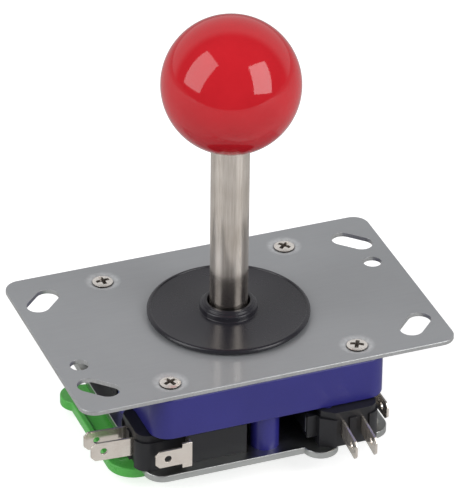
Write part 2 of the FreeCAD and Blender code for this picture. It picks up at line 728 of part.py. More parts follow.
def bottom_plate():
    """Steel base plate under the switches, with an ear under each switch's outer pin."""
    body = new_body("BottomPlate")
    outline = Outline(body, "BaseOutline", BASE_PLATE_BOTTOM)
    outline.rectangle("-base_plate_width / 2", "-base_plate_depth / 2", "base_plate_width / 2", "base_plate_depth / 2")
    pad(body, "BaseSheet", outline, "base_plate_thick")
    round_edges(body, "BaseCorners", "base_plate_corner", is_upright)
    ears = Outline(body, "EarOutline", BASE_PLATE_BOTTOM).circle("ear_along", "-ear_out", "ear_radius")
    quarter_copies(body, pad(body, "Ears", ears, "base_plate_thick"), ears)
    round_edges(body, "BaseEdge", "plate_edge_round / 2", outer_rim(SWITCH_BOTTOM, "post_place"))
    drill(body, "HubHole", "hub_radius + gap", "base_plate_thick", "0 * gap", "0 * gap", SWITCH_BOTTOM)
    pins = Outline(body, "PinHoles", SWITCH_BOTTOM)
    pins.circle(OUTER_PIN_X, f"{CASE_BACK} - switch_hole_inset", "pin_radius + gap")
    pins.circle(f"{CASE_RIGHT} - switch_hole_inset", f"{CASE_FRONT} + switch_hole_inset", "pin_radius + gap")
    quarter_copies(body, pocket(body, "PinHoleCut", pins, "base_plate_thick"), pins)
    pilot = Outline(body, "BaseScrewHole", SWITCH_BOTTOM)
    pilot.circle("0 * gap", "-post_place", "screw_shank_radius + gap")
    quarter_copies(body, pocket(body, "BaseScrewCut", pilot, "base_plate_thick"), pilot)
    sink = countersink(body, "BaseCountersink", "screw_head_radius + gap", "screw_shank_radius + gap",
                       "screw_head_height", "0 * gap", "-post_place", BASE_PLATE_BOTTOM)
    quarter_copies(body, sink, pilot)
    return node(body, "bottom_plate")


def restrictor_gate():
    """Moulded gate: snap-in hub with the shaft's opening, disc, dished paddle and a thumb tab."""
    body = new_body("RestrictorGate")
    disc = Outline(body, "GateDiscOutline", GATE_BOTTOM).circle("0 * gap", "0 * gap", "gate_disc_radius")
    pad(body, "GateDisc", disc, "gate_thick")
    paddle = Outline(body, "PaddleOutline", GATE_BOTTOM)
    paddle.polygon(("-paddle_reach", "-paddle_front"), ("-paddle_neck", "-paddle_front"),
                   ("-0.3 * gate_disc_radius", "-0.95 * gate_disc_radius"),
                   ("-0.3 * gate_disc_radius", "paddle_back"), ("-paddle_reach", "paddle_back"))
    pad(body, "Paddle", paddle, "gate_thick")

    def front_corner(edge):
        frame = edge.BoundBox
        return is_upright(edge) and frame.XMin < -value("paddle_reach") + 0.01 and frame.YMin < 0
    round_edges(body, "PaddleCorner", "paddle_corner", front_corner)
    lobe = Outline(body, "TabLobeOutline", GATE_BOTTOM)
    lobe.circle("-tab_lobe_x", "tab_lobe_y", "tab_lobe_radius")
    pad(body, "TabLobe", lobe, "gate_thick")
    arm = Outline(body, "TabArmOutline", GATE_BOTTOM)
    arm.polygon(("-tab_lobe_x", "tab_lobe_y - 0.95 * tab_lobe_radius"),
                ("-tab_lobe_x", "tab_lobe_y + 0.95 * tab_lobe_radius"),
                ("-hub_opening", "0.8 * gate_disc_radius"), ("-hub_opening", "0 * gap"))
    pad(body, "TabArm", arm, "gate_thick")
    inner = "(gate_disc_radius + dish_wall)"
    dish = Outline(body, "DishOutline", GATE_TOP)
    dish.polygon((f"-{inner}", "-0.62 * paddle_front"), ("-paddle_reach + 2.2 * dish_wall", "-0.76 * paddle_front"),
                 ("-paddle_reach + dish_wall", "-0.6 * paddle_front"),
                 ("-paddle_reach + dish_wall", "paddle_back - 1.6 * dish_wall"),
                 (f"-{inner}", "paddle_back - 2 * dish_wall"))
    pocket(body, "Dish", dish, "dish_depth")
    hub = Outline(body, "HubOutline", GATE_TOP).circle("0 * gap", "0 * gap", "hub_radius")
    pad(body, "Hub", hub, f"{SWITCH_BOTTOM} + gap + hub_lip_height - {GATE_TOP}")
    lip = Outline(body, "HubLipOutline", f"{SWITCH_BOTTOM} + gap")
    lip.circle("0 * gap", "0 * gap", "hub_radius + hub_lip")
    pad(body, "HubLip", lip, "hub_lip_height")
    corners = []
    for number in range(8):
        angle = f"{45 * number + 22.5} * 1 deg"
        corners.append((f"hub_opening / cos(22.5 * 1 deg) * cos({angle})",
                        f"hub_opening / cos(22.5 * 1 deg) * sin({angle})"))
    opening = Outline(body, "GateOpening", GATE_BOTTOM).polygon(*corners)
    pocket(body, "GateOpeningCut", opening, f"{SWITCH_BOTTOM} - {GATE_BOTTOM} + 2 * hub_lip_height",
           upwards=True)
    return node(body, "restrictor_gate")


# Microswitches, drawn at the front and turned to their side

def case_outline(outline, inset):
    """The switch's plan: a block whose terminal end is a nose with one slanted corner."""
    return outline.polygon((f"{NOSE} + nose_slant + {inset}", f"{CASE_BACK} - {inset}"),
                           (f"{NOSE} + {inset}", f"{CASE_BACK} - nose_slant_width"),
                           (f"{NOSE} + {inset}", f"{CASE_FRONT} + {inset}"),
                           (f"{CASE_RIGHT} - {inset}", f"{CASE_FRONT} + {inset}"),
                           (f"{CASE_RIGHT} - {inset}", f"{CASE_BACK} - {inset}"))


def outer_corner(edge):
    """A test for the upright edge of the nose's outer corner, of the case or of its cover."""
    spot = edge.Vertexes[0].Point
    return is_upright(edge) and spot.x < value(CASE_LEFT) and spot.y < value(f"{CASE_FRONT} + 2 * cover_inset")


def switch_case(side, turn):
    """Moulded case with pin holes, plunger hole, terminal slots and the lever's two lugs."""
    body = new_body(f"{side.title()}Case")
    height = "(switch_thick - cover_thick)"
    outline = Outline(body, f"{side}_case_outline", SWITCH_BOTTOM)
    pad(body, f"{side}_case_block", case_outline(outline, "0 * gap"), height)
    round_edges(body, f"{side}_case_corner", "nose_round", outer_corner)
    channels = Outline(body, f"{side}_case_channels", SWITCH_BOTTOM)
    for inset in ("tab_outer_inset", "tab_inner_inset"):
        low = f"({CASE_FRONT} + {inset} - channel_width / 2)"
        channels.rectangle(f"{NOSE} - gap", low, f"{NOSE} + channel_depth", f"{low} + channel_width")
    pocket(body, f"{side}_case_channels_cut", channels, height, upwards=True)
    lugs = Outline(body, f"{side}_case_lugs", f"{SWITCH_MIDDLE} - lever_width / 2 - gap - lug_thick")
    lugs.rectangle(f"{HINGE_X} - lug_width / 2 - lug_web", f"{CASE_BACK} - lug_web",
                   f"{HINGE_X} + lug_width / 2", LEVER_FACE)
    pad(body, f"{side}_case_lugs_pad", lugs, "lever_width + 2 * gap + 2 * lug_thick")
    room = Outline(body, f"{side}_lug_room", f"{SWITCH_MIDDLE} - lever_width / 2 - gap")
    room.rectangle(f"{HINGE_X} - lug_width / 2", f"{CASE_BACK} + fit", f"{HINGE_X} + lug_width", "0 * gap")
    pocket(body, f"{side}_lug_room_cut", room, "lever_width + 2 * gap", upwards=True)
    hinge = Outline(body, f"{side}_hinge_hole", SWITCH_BOTTOM)
    hinge.circle(HINGE_X, HINGE_Y, "hinge_pin_radius + fit")
    pocket(body, f"{side}_hinge_hole_cut", hinge, "switch_thick", upwards=True)
    pins = Outline(body, f"{side}_case_pin_holes", SWITCH_BOTTOM)
    pins.circle(OUTER_PIN_X, f"{CASE_BACK} - switch_hole_inset", "pin_radius + gap")
    pins.circle(f"{CASE_RIGHT} - switch_hole_inset", f"{CASE_FRONT} + switch_hole_inset", "pin_radius + gap")
    pocket(body, f"{side}_case_pin_cut", pins, height, upwards=True)
    slots = Outline(body, f"{side}_tab_slots", f"{SWITCH_MIDDLE} - tab_width / 2 - fit")
    for inset in ("tab_outer_inset", "tab_inner_inset"):
        low = f"({CASE_FRONT} + {inset} - tab_thick / 2 - fit)"
        slots.rectangle(NOSE, low, f"{CASE_LEFT} + tab_root + fit", f"{low} + tab_thick + 2 * fit")
    pocket(body, f"{side}_tab_slots_cut", slots, "tab_width + 2 * fit", upwards=True)
    common_slot = Outline(body, f"{side}_common_slot", f"{SWITCH_MIDDLE} - common_width / 2 - fit")
    common_slot.rectangle(f"{COMMON_X} - tab_thick - fit", f"{CASE_FRONT} - gap", f"{COMMON_X} + fit",
                          f"{CASE_FRONT} + tab_root + fit")
    pocket(body, f"{side}_common_slot_cut", common_slot, "common_width + 2 * fit", upwards=True)
    bore = lying_cylinder(f"{side}_plunger_bore", "plunger_radius + fit",
                          f"{PLUNGER_TIP} - plunger_length - plunger_room",
                          f"plunger_length + plunger_room + 1")
    return node(cut(f"{side}_case", body, bore), f"{side}_switch_case", turn)


def lying_cylinder(name, radius, back, length):
    """A cylinder along Y at the plunger's place, from its far end towards the shaft."""
    item = doc.addObject("Part::Cylinder", name)
    item.Placement.Rotation = FreeCAD.Rotation(FreeCAD.Vector(1, 0, 0), -90)
    return tie(item, Radius=radius, Height=length, Placement__Base__x=PLUNGER_X, Placement__Base__y=back,
               Placement__Base__z=SWITCH_MIDDLE)


def switch_cover(side, turn):
    """Flat lid on the case, set in from its sides, with pin holes."""
    body = new_body(f"{side.title()}Cover")
    outline = Outline(body, f"{side}_cover_outline", f"{BODY_BOTTOM} - cover_thick")
    pad(body, f"{side}_cover_sheet", case_outline(outline, "cover_inset"), "cover_thick")
    round_edges(body, f"{side}_cover_nose", "nose_round - cover_inset", outer_corner)
    pins = Outline(body, f"{side}_cover_pin_holes", f"{BODY_BOTTOM} - cover_thick")
    pins.circle(OUTER_PIN_X, f"{CASE_BACK} - switch_hole_inset", "pin_radius + gap")
    pins.circle(f"{CASE_RIGHT} - switch_hole_inset", f"{CASE_FRONT} + switch_hole_inset", "pin_radius + gap")
    pocket(body, f"{side}_cover_pin_cut", pins, "cover_thick", upwards=True)
    return node(body, f"{side}_switch_cover", turn)


def plunger(side, turn):
    """Round button with a crowned tip that slides into the case."""
    rod = lying_cylinder(f"{side}_plunger_rod", "plunger_radius", f"{PLUNGER_TIP} - plunger_length",
                         "plunger_length")
    crown = tie(doc.addObject("Part::Sphere", f"{side}_plunger_crown"), Radius="plunger_length + plunger_radius",
                Placement__Base__x=PLUNGER_X,
                Placement__Base__y=f"{PLUNGER_TIP} - plunger_length - plunger_radius",
                Placement__Base__z=SWITCH_MIDDLE)
    return node(common(f"{side}_plunger", rod, crown), f"{side}_plunger", turn)


def lever(side, turn):
    """Spring-steel lever: knuckle and pin in the lugs, and a long strip with a turned-up tip."""
    body = new_body(f"{side.title()}Lever")
    low = f"{SWITCH_MIDDLE} - lever_width / 2"
    back = f"({LEVER_FACE} - lever_thick)"
    strip = Outline(body, f"{side}_lever_strip", low)
    strip.polygon((HINGE_X, LEVER_FACE), (HINGE_X, back), ("lever_overhang - 1.5", back),
                  ("lever_overhang", f"{back} - 1.2"), ("lever_overhang + lever_thick", f"{back} - 0.8"),
                  ("lever_overhang - 1.5 + lever_thick / 2", LEVER_FACE))
    pad(body, f"{side}_lever_strip_pad", strip, "lever_width")
    knuckle = Outline(body, f"{side}_lever_knuckle", low).circle(HINGE_X, HINGE_Y, "knuckle_radius")
    pad(body, f"{side}_lever_knuckle_pad", knuckle, "lever_width")
    pin = Outline(body, f"{side}_lever_pin", f"{low} - gap - lug_thick")
    pin.circle(HINGE_X, HINGE_Y, "hinge_pin_radius")
    pad(body, f"{side}_lever_pin_pad", pin, "lever_width + 2 * gap + 2 * lug_thick")
    return node(body, f"{side}_lever", turn)


def end_terminal(side, turn, label, inset):
    """Flat blade out of the case's end that leans a little towards the shaft, with a hole and clipped corners."""
    body = new_body(f"{side.title()}{label.title()}Terminal")
    tip, root, middle = f"({CASE_LEFT} - tab_reach)", f"({CASE_LEFT} + tab_root)", f"({CASE_FRONT} + {inset})"
    front, back = f"({middle} - tab_thick / 2)", f"({middle} + tab_thick / 2)"
    lean = f"tab_lean * ({NOSE} - {tip})"
    plan = Outline(body, f"{side}_{label}_plan", f"{SWITCH_MIDDLE} - tab_width / 2")
    plan.polygon((root, front), (root, back), (NOSE, back), (tip, f"{back} + {lean}"),
                 (tip, f"{front} + {lean}"), (NOSE, front))
    pad(body, f"{side}_{label}_blade", plan, "tab_width")

    def tip_corner(edge):
        frame = edge.BoundBox
        return frame.XMax < value(tip) + 0.01 and frame.ZLength < 0.01
    round_edges(body, f"{side}_{label}_clipped", "tab_chamfer", tip_corner, kind="Chamfer")
    hole = Outline(body, f"{side}_{label}_hole", f"2 * tab_thick - {middle}", role="XZ_Plane")
    hole.circle(f"{tip} + tab_hole_inset", SWITCH_MIDDLE, "tab_hole_radius")
    pocket(body, f"{side}_{label}_hole_cut", hole, "4 * tab_thick + tab_lean * tab_reach")
    return node(body, f"{side}_terminal_{label}", turn)


def common_terminal(side, turn):
    """Bent blade out of the case's outer face that turns along it towards the end."""
    body = new_body(f"{side.title()}CommonTerminal")
    shoulder_low = f"({SWITCH_MIDDLE} - common_shoulder / 2)"
    outer = f"({CASE_FRONT} - common_reach)"
    stem = Outline(body, f"{side}_common_stem", shoulder_low)
    stem.rectangle(f"{COMMON_X} - tab_thick", outer, COMMON_X, CASE_FRONT)
    pad(body, f"{side}_common_stem_pad", stem, "common_shoulder")
    root = Outline(body, f"{side}_common_root", f"{SWITCH_MIDDLE} - common_width / 2")
    root.rectangle(f"{COMMON_X} - tab_thick", f"{CASE_FRONT} - tab_thick", COMMON_X, f"{CASE_FRONT} + tab_root")
    pad(body, f"{side}_common_root_pad", root, "common_width")
    tip, neck = f"({COMMON_X} - common_length)", f"({COMMON_X} - common_shoulder_length)"
    low, high = f"({SWITCH_MIDDLE} - common_width / 2)", f"({SWITCH_MIDDLE} + common_width / 2)"
    shoulder_high = f"({SWITCH_MIDDLE} + common_shoulder / 2)"
    blade = Outline(body, f"{side}_common_outline", f"-{outer} - tab_thick", role="XZ_Plane")
    blade.polygon((COMMON_X, shoulder_low), (COMMON_X, shoulder_high), (neck, shoulder_high), (neck, high),
                  (f"{tip} + tab_chamfer", high), (tip, f"{high} - tab_chamfer"),
                  (tip, f"{low} + tab_chamfer"), (f"{tip} + tab_chamfer", low), (neck, low),
                  (neck, shoulder_low))
    blade.circle(f"{tip} + tab_hole_inset", SWITCH_MIDDLE, "tab_hole_radius")
    pad(body, f"{side}_common_blade", blade, "tab_thick")
    return node(body, f"{side}_terminal_common", turn)


mounting_plate()
screw_set("plate_screws", "(-dimple_depth)", "screw_length", False,
          [(f"{x} * screw_place", f"{y} * screw_place") for x, y in ((1, 1), (-1, 1), (-1, -1), (1, -1))])
dust_washer()
guide_washer()
body_housing()
pivot_ball()
pivot_liner()
spring_seat()
shaft()
ball_top()
actuator()
return_spring()
e_clip()
bottom_plate()
screw_set("bottom_screws", BASE_PLATE_BOTTOM, "screw_length", True,
          [(f"{x} * post_place", f"{y} * post_place") for x, y in ((1, 0), (0, 1), (-1, 0), (0, -1))])
restrictor_gate()
for side, turn in SIDES.items():
    switch_case(side, turn)
    switch_cover(side, turn)
    plunger(side, turn)
    lever(side, turn)
    end_terminal(side, turn, "open", "tab_outer_inset")
    end_terminal(side, turn, "closed", "tab_inner_inset")
    common_terminal(side, turn)
doc.recompute()

for item in doc.Objects:
    if "Invalid" in item.State or "Error" in item.State:
        raise RuntimeError(f"{item.Label} failed: {item.State}")
for item in nodes:
    if item.Shape.isNull() or not item.Shape.isValid() or not item.Shape.Solids:
        raise RuntimeError(f"{item.Label} has no valid solid")

os.makedirs("parts", exist_ok=True)
for item in nodes:
    item.Shape.exportStep(f"parts/{item.Label}.step")
print(f"{len(nodes)} nodes, {sum(len(item.Shape.Solids) for item in nodes)} solids")
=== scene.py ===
"""Arcade joystick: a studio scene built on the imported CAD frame.

Every piece is drawn in metres in the row frame. The origin is on the shaft's axis, on the top
face of the fixing plate, with +Z up the shaft, +X to the right and +Y to the back.
"""

import logging
import math
from dataclasses import dataclass
from enum import Enum
from typing import Any, Iterable, Sequence

import bmesh
import bpy
from mathutils import Matrix, Vector

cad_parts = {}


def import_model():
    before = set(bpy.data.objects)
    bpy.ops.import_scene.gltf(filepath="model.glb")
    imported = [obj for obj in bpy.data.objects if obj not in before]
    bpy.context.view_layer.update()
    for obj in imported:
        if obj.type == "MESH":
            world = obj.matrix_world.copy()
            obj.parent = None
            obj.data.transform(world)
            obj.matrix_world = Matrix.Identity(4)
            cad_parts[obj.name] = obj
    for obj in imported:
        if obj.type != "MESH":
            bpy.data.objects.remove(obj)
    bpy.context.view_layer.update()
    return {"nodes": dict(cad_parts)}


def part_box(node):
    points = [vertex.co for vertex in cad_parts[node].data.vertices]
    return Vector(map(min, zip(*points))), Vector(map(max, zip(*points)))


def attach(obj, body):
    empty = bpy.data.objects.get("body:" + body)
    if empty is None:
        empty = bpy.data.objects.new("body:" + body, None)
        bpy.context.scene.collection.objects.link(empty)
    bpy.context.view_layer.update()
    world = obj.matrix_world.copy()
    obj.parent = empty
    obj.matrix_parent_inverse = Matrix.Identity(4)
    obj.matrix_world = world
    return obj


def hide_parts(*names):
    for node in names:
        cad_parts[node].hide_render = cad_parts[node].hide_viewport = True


MM = 0.001
LOG = logging.getLogger("arcade_joystick")
# The noise values between which a finish goes from its darker to its lighter colour, and from
# its smoother to its rougher patches.
TINT_RANGE = (0.36, 0.64)
GLOSS_RANGE = (0.3, 0.7)
LEAST_ROUGHNESS = 0.02
# Edges that turn by more than this stay sharp in the shading, and triangles that turn by less
# than FLAT_DEG belong to one flat face.
SHARP_DEG = 50.0
FLAT_DEG = 0.4
# A face whose normal rises less than this is a side and not a top.
SIDE_RISE = 0.6
# Points of a mesh that lie closer than this, in metres, are one point.
SAME_POINT = 2e-6


class Body(Enum):
    """The rigid bodies that the pieces ride on."""

    BASE = "base"
    LINER = "liner"
    PIVOT = "tilting_pivot"
    STICK = "stick"
    GUIDE = "guide"
    WASHER = "washer"
    GATE = "gate"


class Side(Enum):
    """The four sides of the stick that have a microswitch."""

    FRONT = "front"
    RIGHT = "right"
    BACK = "back"
    LEFT = "left"


# Colour and shader helpers

def linear(code: str) -> tuple[float, float, float, float]:
    """Turn an sRGB hex colour into linear light.

    Args:
        code: Six hex digits, such as "C8202A".

    Returns:
        Red, green, blue and an alpha of 1.
    """
    channels = [int(code[place:place + 2], 16) / 255 for place in (0, 2, 4)]
    light = [c / 12.92 if c <= 0.04045 else ((c + 0.055) / 1.055) ** 2.4 for c in channels]
    return light[0], light[1], light[2], 1.0


def add_node(tree: bpy.types.NodeTree, kind: str, settings: dict[str, Any] | None = None,
             links: dict[Any, bpy.types.NodeSocket] | None = None) -> bpy.types.Node:
    """Add one node with its settings and incoming links.

    Args:
        tree: The node tree.
        kind: Blender's name of the node type.
        settings: Values by property name, or by input name or number.
        links: Source sockets by input name or number.

    Returns:
        The new node.
    """
    node = tree.nodes.new(kind)
    for key, value in (settings or {}).items():
        if isinstance(key, str) and hasattr(node, key):
            setattr(node, key, value)
        else:
            node.inputs[key].default_value = value
    for key, socket in (links or {}).items():
        tree.links.new(socket, node.inputs[key])
    return node


@dataclass(frozen=True)
class Finish:
    """One real material: its colour, its gloss and the pattern that its making leaves.

    Sizes are in millimetres. stretch squeezes the grain along each axis, so that a large number
    gives short features that way and a small one gives long streaks. polish is the share of the
    surface that the last polishing left smooth, between the tool marks.
    """

    name: str
    colour: str
    shade: str
    metallic: float
    roughness: float
    roughness_spread: float = 0.05
    grain_mm: float = 1.0
    stretch: tuple[float, float, float] = (1.0, 1.0, 1.0)
    patch_mm: float = 20.0
    relief_mm: float = 0.0
    ior: float = 1.5
    anisotropic: float = 0.0
    grain_turn: float = 0.0
    polish: float = 0.0
    polish_roughness: float = 0.18

    def material(self) -> bpy.types.Material:
        """Build the finish once and hand out the same material afterwards.

        Returns:
            The material, with its pattern mapped on Object coordinates.
        """
        known = bpy.data.materials.get(self.name)
        if known is not None:
            return known
        made = bpy.data.materials.new(self.name)
        made.use_nodes = True
        tree = made.node_tree
        tree.nodes.clear()
        place, grain, blend = self.pattern(tree)
        spread = add_node(tree, "ShaderNodeMapRange",
                          {"From Min": TINT_RANGE[0], "From Max": TINT_RANGE[1]},
                          {"Value": blend.outputs[0]})
        tint = add_node(tree, "ShaderNodeMix",
                        {"data_type": "RGBA", 6: linear(self.shade), 7: linear(self.colour)},
                        {0: spread.outputs["Result"]})
        gloss = add_node(tree, "ShaderNodeMapRange",
                         {"From Min": GLOSS_RANGE[0], "From Max": GLOSS_RANGE[1],
                          "To Min": max(self.roughness - self.roughness_spread, LEAST_ROUGHNESS),
                          "To Max": self.roughness + self.roughness_spread},
                         {"Value": blend.outputs[0]})
        lobes = self.lobes(tree, self.overlaid(tree, place, tint.outputs[2]),
                           gloss.outputs["Result"])
        if self.relief_mm:
            bump = add_node(tree, "ShaderNodeBump",
                            {"Strength": 1.0, "Distance": self.relief_mm * MM},
                            {"Height": grain.outputs["Fac"]})
            for lobe in lobes:
                tree.links.new(bump.outputs["Normal"], lobe.inputs["Normal"])
        surface = lobes[0].outputs["BSDF"]
        if self.polish:
            surface = add_node(tree, "ShaderNodeMixShader", {0: self.polish},
                               {1: surface, 2: lobes[1].outputs["BSDF"]}).outputs[0]
        add_node(tree, "ShaderNodeOutputMaterial", links={"Surface": surface})
        return made

    def pattern(self, tree: bpy.types.NodeTree) -> list[bpy.types.Node]:
        """Lay out the fine grain and mix it in equal shares with broader, cloudy patches.

        Args:
            tree: The material's node tree.

        Returns:
            The texture coordinates, the grain, and the mix of grain and patches.
        """
        place = add_node(tree, "ShaderNodeTexCoord")
        grain_map = add_node(tree, "ShaderNodeMapping", {"Scale": self.stretch},
                             {"Vector": place.outputs["Object"]})
        grain = add_node(tree, "ShaderNodeTexNoise",
                         {"Scale": 1 / (self.grain_mm * MM), "Detail": 3.0, "Roughness": 0.55},
                         {"Vector": grain_map.outputs["Vector"]})
        patch = add_node(tree, "ShaderNodeTexNoise",
                         {"Scale": 1 / (self.patch_mm * MM), "Detail": 2.0, "Roughness": 0.5},
                         {"Vector": place.outputs["Object"]})
        half_patch = add_node(tree, "ShaderNodeMath", {"operation": "MULTIPLY", 1: 0.5},
                              {0: patch.outputs["Fac"]})
        blend = add_node(tree, "ShaderNodeMath", {"operation": "MULTIPLY_ADD", 1: 0.5},
                         {0: grain.outputs["Fac"], 2: half_patch.outputs[0]})
        return [place, grain, blend]

    def lobes(self, tree: bpy.types.NodeTree, colour: bpy.types.NodeSocket,
              roughness: bpy.types.NodeSocket) -> list[bpy.types.Node]:
        """Add the shader of the bare surface and, on a polished one, that of its smooth share.

        Args:
            tree: The material's node tree.
            colour: The surface's colour.
            roughness: The bare surface's roughness.

        Returns:
            One shader, or two on a polished surface.
        """
        settings = {"Metallic": self.metallic, "Anisotropic": self.anisotropic,
                    "Anisotropic Rotation": self.grain_turn}
        if not self.metallic:
            settings["IOR"] = self.ior
        links = {"Base Color": colour, "Roughness": roughness}
        if self.anisotropic:
            tangent = add_node(tree, "ShaderNodeTangent",
                               {"direction_type": "RADIAL", "axis": "Z"})
            links["Tangent"] = tangent.outputs["Tangent"]
        shaders = [add_node(tree, "ShaderNodeBsdfPrincipled", settings, links)]
        if self.polish:
            shaders.append(add_node(tree, "ShaderNodeBsdfPrincipled",
                                    {"Metallic": self.metallic,
                                     "Roughness": self.polish_roughness},
                                    {"Base Color": colour}))
        return shaders

    def overlaid(self, tree: bpy.types.NodeTree, place: bpy.types.Node, colour: bpy.types.NodeSocket
               ) -> bpy.types.NodeSocket:
        """Hand the colour on as it is. A finish that bears marks or painted light of its own adds
        them here.

        Args:
            tree: The material's node tree.
            place: Its texture coordinates.
            colour: The colour of the bare surface.

        Returns:
            The colour with its marks or painted light.
        """
        return colour


@dataclass(frozen=True)
class SheetWithPaintedRings(Finish):
    """Sheet metal with a lighter ring painted round each screw dimple: a painted highlight where
    the dimples catch the light.

    ring_mm gives the radius within which the ring is brightest, and that at which it has faded.
    """

    bright: str = "DCDEE0"
    dimple_place_mm: float = 25.0
    ring_mm: tuple[float, float] = (3.2, 5.0)
    ring_breakup_mm: float = 1.1

    def overlaid(self, tree: bpy.types.NodeTree, place: bpy.types.Node, colour: bpy.types.NodeSocket
               ) -> bpy.types.NodeSocket:
        """Paint a lighter ring round each dimple as a highlight, broken up by noise.

        Args:
            tree: The material's node tree.
            place: Its texture coordinates.
            colour: The colour of the bare surface.

        Returns:
            The colour with its rings.
        """
        quarter = add_node(tree, "ShaderNodeVectorMath", {"operation": "ABSOLUTE"},
                           {0: place.outputs["Object"]})
        middle = (self.dimple_place_mm * MM, self.dimple_place_mm * MM, 0)
        offset = add_node(tree, "ShaderNodeVectorMath", {"operation": "SUBTRACT", 1: middle},
                          {0: quarter.outputs["Vector"]})
        level = add_node(tree, "ShaderNodeVectorMath", {"operation": "MULTIPLY", 1: (1, 1, 0)},
                         {0: offset.outputs["Vector"]})
        reach = add_node(tree, "ShaderNodeVectorMath", {"operation": "LENGTH"},
                         {0: level.outputs["Vector"]})
        ring = add_node(tree, "ShaderNodeMapRange",
                        {"From Min": self.ring_mm[1] * MM, "From Max": self.ring_mm[0] * MM,
                         "interpolation_type": "SMOOTHSTEP"}, {"Value": reach.outputs["Value"]})
        # Noise that breaks up the painted highlight ring.
        marks = add_node(tree, "ShaderNodeTexNoise",
                         {"Scale": 1 / (self.ring_breakup_mm * MM), "Detail": 2.0},
                         {"Vector": place.outputs["Object"]})
        share = add_node(tree, "ShaderNodeMath", {"operation": "MULTIPLY"},
                         {0: ring.outputs["Result"], 1: marks.outputs["Fac"]})
        # Painted highlight: the lighter ring stands in for the light that the dimples catch.
        mixed = add_node(tree, "ShaderNodeMix", {"data_type": "RGBA", 7: linear(self.bright)},
                         {0: share.outputs[0], 6: colour})
        return mixed.outputs[2]


# The real rolling lines, tool marks, scratches and mould grain are a few hundredths to a tenth of
# a millimetre wide. That is too fine to show in the render, so each grain_mm below is drawn as
# coarse as it needs to show, at 0.3 mm or more. The cloudy patches have their real size.

# Polished phenolic: deep red under a clear gloss that mirrors the lamps sharply.
PHENOLIC_RED = Finish("polished_phenolic_red", "CC202A", "C51D27", 0.0, 0.07, 0.015,
                      grain_mm=6.0, patch_mm=25.0, ior=1.54)
# Turned and polished steel: ring-wise tool marks draw each lamp out into a streak along the shaft,
# and handling leaves fine scratches that run along it.
TURNED_STEEL = Finish("turned_steel", "F3EAE1", "D0C6BB", 1.0, 0.33, 0.04,
                      grain_mm=0.4, stretch=(1.0, 1.0, 0.04), patch_mm=9.0, relief_mm=0.003,
                      anisotropic=1.0, grain_turn=0.25, polish=0.82)
# Moulded nylon with carbon black: satin, with a slight cloudiness.
NYLON_BLACK = Finish("moulded_nylon_black", "28272D", "242329", 0.0, 0.26, 0.03,
                     grain_mm=0.8, patch_mm=12.0, relief_mm=0.0007)
# Zinc-plated rolled sheet: even satin grey with faint rolling grain along the sheet. The plating
# is chalky, so that much of its light is scattered and only a little is mirrored.
# Round each screw dimple the sheet gets a lighter ring: a painted highlight.
ZINC_SHEET = SheetWithPaintedRings("zinc_plated_sheet", "A5A7AA", "A1A3A6", 0.4, 0.5, 0.03,
                          grain_mm=0.8, stretch=(0.08, 1.0, 1.0), patch_mm=14.0,
                          relief_mm=0.002, polish=0.2, polish_roughness=0.12)
# Sheared edge of the same sheet: brighter metal than its faces, with the shear's upright marks.
SHEARED_EDGE = Finish("sheared_zinc_edge", "C6C7C7", "B4B5B5", 0.75, 0.4, 0.05,
                      grain_mm=0.4, stretch=(1.0, 1.0, 0.1), patch_mm=6.0, relief_mm=0.003)
# Zinc-plated base sheet: a little brighter than the fixing plate.
ZINC_BASE = Finish("zinc_plated_base", "C6C8C6", "B8BAB8", 1.0, 0.34, 0.06,
                   grain_mm=0.8, stretch=(0.1, 1.0, 1.0), patch_mm=12.0, relief_mm=0.003)
# Nickel-plated screw: bright and a little milky, with small marks from the driver.
NICKEL = Finish("nickel_plated_steel", "F6F1EB", "E2DCD6", 0.65, 0.26, 0.05,
                grain_mm=0.5, patch_mm=3.0, relief_mm=0.003)
# The same screw's recess and flanks: a darker copy of the nickel, painted shade where they lie in
# shadow.
SHADED_NICKEL = Finish("nickel_recess_painted_shade", "A39C95", "7C756E", 0.85, 0.36, 0.06,
                     grain_mm=0.5, patch_mm=3.0)
# Moulded ABS in indigo: light satin, from a blasted mould.
ABS_INDIGO = Finish("moulded_abs_indigo", "2D2B80", "292777", 0.0, 0.34, 0.05,
                    grain_mm=0.35, patch_mm=16.0, relief_mm=0.004, ior=1.53)
# Moulded phenolic of the switch cases: dark, nearly matt, slightly grainy.
PHENOLIC_BLACK = Finish("moulded_phenolic_black", "212125", "1A1A1E", 0.0, 0.44, 0.06,
                        grain_mm=0.3, patch_mm=8.0, relief_mm=0.006)
PHENOLIC_COVER = Finish("moulded_phenolic_cover", "1F1F23", "18181C", 0.0, 0.42, 0.06,
                        grain_mm=0.3, patch_mm=8.0, relief_mm=0.005)
# Tin-plated brass strip: warm pale metal with a soft shine.
TINNED_BRASS = Finish("tin_plated_brass", "F7EFE5", "E9DFD5", 0.88, 0.4, 0.05,
                      grain_mm=0.4, stretch=(0.2, 1.0, 1.0), patch_mm=5.0, relief_mm=0.002,
                      polish=0.85, polish_roughness=0.12)
# Drawn spring wire: bright with fine drawing lines.
SPRING_STEEL = Finish("drawn_spring_wire", "B9B9B6", "A3A3A0", 1.0, 0.28, 0.06,
                      grain_mm=0.3, stretch=(0.1, 1.0, 1.0), patch_mm=5.0)
# Tempered spring strip of the switch levers: grey and dull from its heat treatment.
TEMPERED_STRIP = Finish("tempered_spring_strip", "6E6E70", "5C5C5E", 1.0, 0.42, 0.06,
                        grain_mm=0.3, stretch=(0.1, 1.0, 1.0), patch_mm=5.0)
# Blackened spring steel of the clip.
BLACKENED_STEEL = Finish("blackened_spring_steel", "55555A", "3E3E42", 1.0, 0.38, 0.06,
                         grain_mm=0.4, patch_mm=4.0)
# Moulded polypropylene in leaf green: soft gloss.
POLYPROPYLENE_GREEN = Finish("moulded_polypropylene_green", "5CBE55", "53B44C", 0.0, 0.3, 0.05,
                             grain_mm=0.5, patch_mm=12.0, relief_mm=0.004, ior=1.49)
